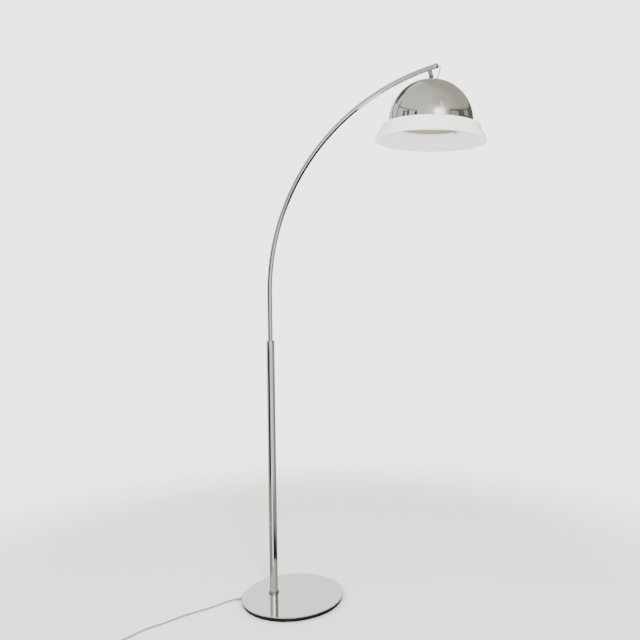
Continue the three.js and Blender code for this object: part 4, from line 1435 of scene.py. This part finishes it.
class MakeHolder(bpy.types.Operator):
    """Makes the bracket, the lamp holder and the bulb"""

    bl_idname = "lamp.holder"
    bl_label = "Lamp holder and bulb"

    def execute(self, context):
        shade = layout(context).shade

        def hang(node, shape, **settings):
            return piece(node, placed(shape, shade), **settings)

        plate, bend = -12.85, 3.5 * MM
        arm = strip(mm((9, plate), (-17, plate), (-17, -43), (9, -43)), 2 * MM, 16 * MM, bend)
        holes = [tool(STUD_BORE, -20 * MM, 0), tool(NIPPLE_BORE, -50 * MM, -35 * MM)]
        hang("holder_bracket", worked(arm, holes))
        nipple = turned(mm(
            (3, -52), (4.4, -52), (5, -51.4), (5, -39), (4.4, -38.4), (3, -38.4)), 56)
        hang("holder_nipple", threaded(nipple, -51.6 * MM, -38.8 * MM, 4.7 * MM, 0.35 * MM, MM))
        hang("holder_nut", hex_nut(14 * MM, NIPPLE_BORE, -41.7 * MM, -38.9 * MM))

        hang("holder_cap", turned(mm(
            (5.3, -44.3), (12, -44.3), (18, -50), (19.5, -58), (17, -58), (15.6, -51.6), (11, -47),
            (5.3, -47)), 96, 1.1 * MM), finish="phenolic")
        body = turned(mm(
            (19.6, -58.3), (20.5, -60.5), (20.5, -88), (20.1, -90), (20.1, -92.6), (19.4, -94),
            (17.2, -94), (17.2, -58.3)), 192, 0.5 * MM)
        ribs = 32
        rippled(body, -87 * MM, -63 * MM, 20.2 * MM, 0.55 * MM, ribs)
        hang("holder_body", body, finish="phenolic")
        core = plain_round(2 * MM, 16.8 * MM, -65.5 * MM, -60 * MM, 72, 0.6 * MM)
        hang("holder_core", core)

        cap_pitch, row = 3.63 * MM, 0.6
        rows = [(-92 + row * i) * MM for i in range(44)]
        walls = [*((14.9 * MM, z) for z in rows), *((14.2 * MM, z) for z in reversed(rows))]
        sleeve = turned(walls, 72)
        threaded(sleeve, -91.8 * MM, -66.3 * MM, 12 * MM, 0.5 * MM, cap_pitch)
        hang("holder_thread", sleeve, sharp=60)
        hang("holder_contact", plain_round(0, 4 * MM, -68 * MM, -65.9 * MM, 40, 0.5 * MM))

        rows = [(-75.4 - row * i) * MM for i in range(32)]
        outside, inside = 13, 12.3
        cap = turned([
            *mm((0, -68.4), (3.4, -68.6), (4.5, -70.2), (12.6, -74)),
            *((outside * MM, z) for z in rows), *mm((outside, -94.6), (inside, -94.6)),
            *((inside * MM, z) for z in reversed(rows)), *mm((12, -74.8), (4, -71.2), (0, -71)),
        ], 72)
        threaded(cap, -92.5 * MM, -75 * MM, 11 * MM, 0.6 * MM, cap_pitch)
        hang("bulb_cap", cap, sharp=60)

        def envelope(inset):
            """The bulb's outline, that far inside its skin, down to the crown."""
            knots = mm((11.8, -88), (11.8, -95.6), (15, -104), (21.5, -117), (27.6, -131),
                       (30, -145), (27.6, -158.5), (20.6, -169.6), (10.6, -176.6), (0, -178.8))
            widest = -0.145
            line = flowing([(r, 0, z) for r, z in knots], 6)
            return [(max(0, p.x - inset), p.z + (inset if p.z < widest else 0)) for p in line]

        outer, inner = envelope(0), envelope(0.9 * MM)
        outer[-1], inner[-1] = (0, outer[-1][1]), (0, inner[-1][1])
        inner = [p for p in inner[:-1] if p[0] > 0.4 * MM] + [inner[-1]]
        hang("bulb_glass", turned([*reversed(outer), *inner], 96), sharp=60)
        return {"FINISHED"}


class MakeFlexes(bpy.types.Operator):
    """Makes the thinner lead inside the tubes, at the arm's end and inside the dome"""

    bl_idname = "lamp.flexes"
    bl_label = "Inner leads"

    def execute(self, context):
        at = layout(context)
        sizes = context.scene.lead_sizes
        radius = sizes.flex_diameter / 2
        below_arm = at.arm_bottom - 1.3 * MM
        upright = [
            along_cord(context, EDGE_DISTANCE - 17 * MM), along_cord(context, 50 * MM),
            along_cord(context, 14 * MM), along_cord(context, 4 * MM, 9 * MM),
            *(Vector((at.pole.x, 0, z)) for z in (0.019, 0.034, 0.2, 0.42, below_arm)),
        ]
        piece("pole_flex", tube(upright, radius, 12, 6)[0], sharp=60)

        end, steps = at.arm_length - 10 * MM, 90

        def lift(along):
            """How far the lead runs outside the arm's axis, which is nothing at its ends."""
            return 3 * MM * min(1, (end - along) / (8 * MM), max(0, along) / (20 * MM))

        stations = [-MM + (end + MM) * i / steps for i in range(steps + 1)]
        line = [at.arm_point(along, lift(along)) for along in stations]
        piece("arm_flex", tube(line, radius, 12, 1)[0], sharp=60)

        inside = [at.shade @ Vector(p) for p in HOLDER_ROUTE]
        piece("holder_lead", tube(inside, radius, 16, 6)[0], sharp=60)
        self.loop(radius)
        return {"FINISHED"}

    @staticmethod
    def loop(radius):
        """The lead outside, in two lengths that meet where it turns down, because each can bend
        across one joint only."""
        line = flowing([Vector(p) for p in LOOP_ROUTE], 6)
        joint = Vector(LOOP_ROUTE[LOOP_JOINT])
        half = line.index(min(line, key=lambda p: (p - joint).length))
        upper, lower = line[:half + 1], line[half:]
        for name, points, start, above, below in (
            ("upper", upper, Vector(LOOP_ROUTE[LOOP_BEND_STARTS]), "arm", "liner"),
            ("lower", lower, lower[0], "liner", "shade"),
        ):
            made = as_object(f"lamp_lead_{name}", tube(points, radius, 16, 1)[0])
            dress(made, "clear_flex", sharp=60)
            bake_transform(made)
            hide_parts("lamp_lead")


# ---- the stage ----------------------------------------------------------------------------------

# What the chrome mirrors, from the back to the front: compass from and to, as seen round the lamp
# with 0 towards the camera and positive to its right, elevation from and to at compass 0, how much
# that climbs for each degree of compass, softness of the edges, all in degrees, and the colour.
ROOM = (
    # Broad walls: pale to the left, brighter ahead, khaki to the right.
    (-180, -4, -12, 70, 0, 40, (0.82, 0.79, 0.74)),
    (-60, 24, -12, 27, 0, 24, (0.90, 0.88, 0.84)),
    (60, 180, -90, 90, 0, 60, (0.49, 0.475, 0.405)),
    # The far left: a white wall and its grey corner.
    (-180, -120, -40, 29, 0, 3, (0.95, 0.95, 0.92)),
    (-134, -130, -20, 29, 0, 3, (0.5, 0.5, 0.48)),
    # The near left: a wall with a dark rail along its top, a dark post, and two dark frames.
    (-118, -52, -25, 9.7, -0.172, 2, (0.80, 0.79, 0.76)),
    (-118, -50, 9.2, 10.9, -0.172, 1, (0.12, 0.115, 0.10)),
    (-121, -117, -20, 38, 0, 2, (0.07, 0.068, 0.06)),
    (-94, -74, 8, 21.5, 0, 1.5, (0.05, 0.048, 0.045)),
    (-88, -80, 8, 19.5, 0, 1.5, (0.75, 0.74, 0.72)),
    (-57, -50, 8, 17.5, 0, 1.5, (0.06, 0.055, 0.05)),
    # The right: a dark band with two lighter panes.
    (28, 160, -6, 19, 0.03, 5, (0.15, 0.138, 0.105)),
    (42, 66, 8, 16.5, 0, 2.5, (0.50, 0.47, 0.38)),
    (88, 108, 12, 20, 0, 2.5, (0.40, 0.38, 0.31)),
    # The window ahead: its glow, its pane and a thin gleam above it.
    (-24, 34, -12, 29, 0, 26, (1.15, 1.14, 1.1)),
    (-3, 22, -12, 21, 0, 16, (4.2, 4.2, 4.0)),
    (18, 20.5, 16, 42, 0, 4, (2, 2, 1.95)),
    # A dark edge high up behind.
    (-180, -143, 29, 46, 0, 4, (0.10, 0.097, 0.085)),
    # From the horizon down: the ground, and what stands on it on each side.
    (-180, 180, -90, 6, 0, 6, (0.34, 0.335, 0.30)),
    (-180, -87, -15, 6, 0, 8, (1.0, 1.0, 0.97)),
    (-87, -27, -17, 6, 0, 5, (0.02, 0.02, 0.022)),
    (-27, 52, -17, 7, 0, 8, (1.05, 1.04, 1.06)),
    (-180, -120, -50, -15, 0, 10, (0.8, 0.8, 0.78)),
    (-22, 2, -45, -14, 0, 5, (1.9, 1.9, 1.85)),
    (4, 120, -90, -24, 0, 5, (0.035, 0.035, 0.033)),
    (-180, 180, -90, -50, 0, 8, (0.04, 0.04, 0.038)),
    # A pale strip straight behind, in two parts because the compass wraps round there.
    (-180, -163, 18, 33, 0, 2, (1.55, 1.57, 1.48)),
    (163, 180, 18, 33, 0, 2, (1.55, 1.57, 1.48)),
)
CEILING = (0.66, 0.64, 0.56)
BACKDROP = (3.5, 3.46, 3.32)
FLOOR_RADIUS = 2.6
FLOOR_FADE = (1.1, 2.3)

# Name, place, point it faces, width and height, and share of the key light's power.
LIGHTS = (
    ("key", (1.8, -3.0, 2.75), (0.3, 0, 1.0), (0.45, 0.7), 1.0),
    ("side", (-2.6, -1.6, 2.4), (0, 0, 0.8), (1.6, 1.6), 0.25),
)


class SetStage(bpy.types.Operator):
    """Sets up the camera, the soft light, the floor and what the chrome mirrors"""

    bl_idname = "lamp.stage"
    bl_label = "Stage"

    def execute(self, context):
        settings = context.scene.stage_settings
        self.camera(context, settings)
        self.room(context, settings)
        self.lights(context, settings)
        self.floor(context.scene.lamp_colours)
        return {"FINISHED"}

    @staticmethod
    def camera(context, settings):
        data = bpy.data.cameras.new("camera")
        data.lens = settings.focal_length
        data.sensor_width = 36
        data.shift_x, data.shift_y = settings.shift_x, settings.shift_y
        camera = bpy.data.objects.new("camera", data)
        context.scene.collection.objects.link(camera)
        yaw, pitch, roll = settings.camera_yaw, settings.camera_pitch, settings.camera_roll
        camera.matrix_world = (
            Matrix.Translation(settings.camera_at) @ lean(yaw, "Z") @ lean(pi / 2 + pitch, "X")
            @ lean(roll, "Z")
        )
        context.scene.camera = camera

    @staticmethod
    def room(context, settings):
        world = bpy.data.worlds.new("studio")
        world.use_nodes = True
        context.scene.world = world
        tree = Nodes(world.node_tree)
        tree.tree.nodes.clear()
        away = tree.node("ShaderNodeTexCoord").outputs["Generated"]
        x, y, z = tree.parts(away)
        toward = Vector(settings.camera_at) - middle("pole")
        toward.z = 0
        toward.normalize()
        compass = (y * toward.x - x * toward.y).azimuth(x * toward.x + y * toward.y)
        height = z.least(0.9999).arcsine()
        mirrored = CEILING
        for west, east, low, high, climb, soft, colour in ROOM:
            def past(level, limit, half=radians(soft) / 2):
                return level.between(radians(limit) - half, radians(limit) + half)

            level = height - compass * climb
            mask = past(level, low) * (1 - past(level, high))
            if west > -180:
                mask = mask * past(compass, west)
            if east < 180:
                mask = mask * (1 - past(compass, east))
            mirrored = tree.mix(mask, mirrored, colour)
        rays = tree.node("ShaderNodeLightPath").outputs
        even = (settings.fill, settings.fill, settings.fill * 0.985)
        seen = tree.mix(Level(tree, rays["Is Glossy Ray"]), even, mirrored)
        seen = tree.mix(Level(tree, rays["Is Camera Ray"]), seen, BACKDROP)
        light = tree.node("ShaderNodeBackground", inputs={"Color": seen, "Strength": 1.0})
        out = tree.node("ShaderNodeOutputWorld", inputs={"Surface": light.outputs[0]})
        out.is_active_output = True

    @staticmethod
    def lights(context, settings):
        for name, at, aim, size, share in LIGHTS:
            data = bpy.data.lights.new(name, "AREA")
            data.shape = "RECTANGLE"
            data.size, data.size_y = size
            data.energy = settings.key_power * share
            light = bpy.data.objects.new(name, data)
            context.scene.collection.objects.link(light)
            light.location = at
            light.visible_glossy = False
            light.rotation_euler = (Vector(aim) - Vector(at)).to_track_quat("-Z", "Y").to_euler()

    @staticmethod
    def floor(colours):
        """A round floor that fades into the backdrop at its edge."""
        shape = bmesh.new()
        bmesh.ops.create_circle(shape, cap_ends=True, segments=96, radius=FLOOR_RADIUS)
        floor = as_object("studio_floor", placed(shape, moved(0.1, 0, -0.2 * MM)))
        finish = Finish("studio_floor", colours.floor, 0.6)
        tone = finish.grain(0.35, detail=3).between(0.2, 0.9)
        finish.shade(0.03, tone)
        x, y, _ = finish.parts(finish.place)
        radius = (x * x + y * y) ** 0.5
        clear = finish.node("ShaderNodeBsdfTransparent")
        fade = finish.node(
            "ShaderNodeMixShader",
            inputs={
                0: radius.between(*FLOOR_FADE), 1: finish.shader.outputs[0], 2: clear.outputs[0],
            },
        )
        out = finish.node("ShaderNodeOutputMaterial", inputs={"Surface": fade.outputs[0]})
        out.is_active_output = True
        floor.data.materials.append(finish.material)
        floor.visible_glossy = False


# ---- the add-on ---------------------------------------------------------------------------------

OPERATORS = (
    MixFinishes, SetStage, MakeMainsLead, MakeBase, MakePole, MakeArm, MakeBallJoint, MakeDome,
    MakeSkirt, MakeHolder, MakeFlexes,
)


class LampPanel(bpy.types.Panel):
    """Lists the steps that build the lamp"""

    bl_idname = "VIEW3D_PT_lamp"
    bl_label = "Arc floor lamp"
    bl_space_type = "VIEW_3D"
    bl_region_type = "UI"
    bl_category = "Lamp"

    def draw(self, context):
        for group in SETTINGS:
            for key in group.__annotations__:
                self.layout.prop(getattr(context.scene, SETTINGS[group]), key)
        for operator in OPERATORS:
            self.layout.operator(operator.bl_idname)


SETTINGS = {
    LampSizes: "lamp_sizes", LeadSizes: "lead_sizes", LampColours: "lamp_colours",
    StageSettings: "stage_settings",
}
CLASSES = (*SETTINGS, *OPERATORS, LampPanel)


def register():
    for cls in CLASSES:
        bpy.utils.register_class(cls)
    for group, name in SETTINGS.items():
        setattr(bpy.types.Scene, name, PointerProperty(type=group))


def unregister():
    for name in SETTINGS.values():
        delattr(bpy.types.Scene, name)
    for cls in reversed(CLASSES):
        bpy.utils.unregister_class(cls)


def main():
    register()
    for operator in OPERATORS:
        getattr(bpy.ops.lamp, operator.bl_idname.split(".")[1])()


if __name__ == "__main__":
    main()
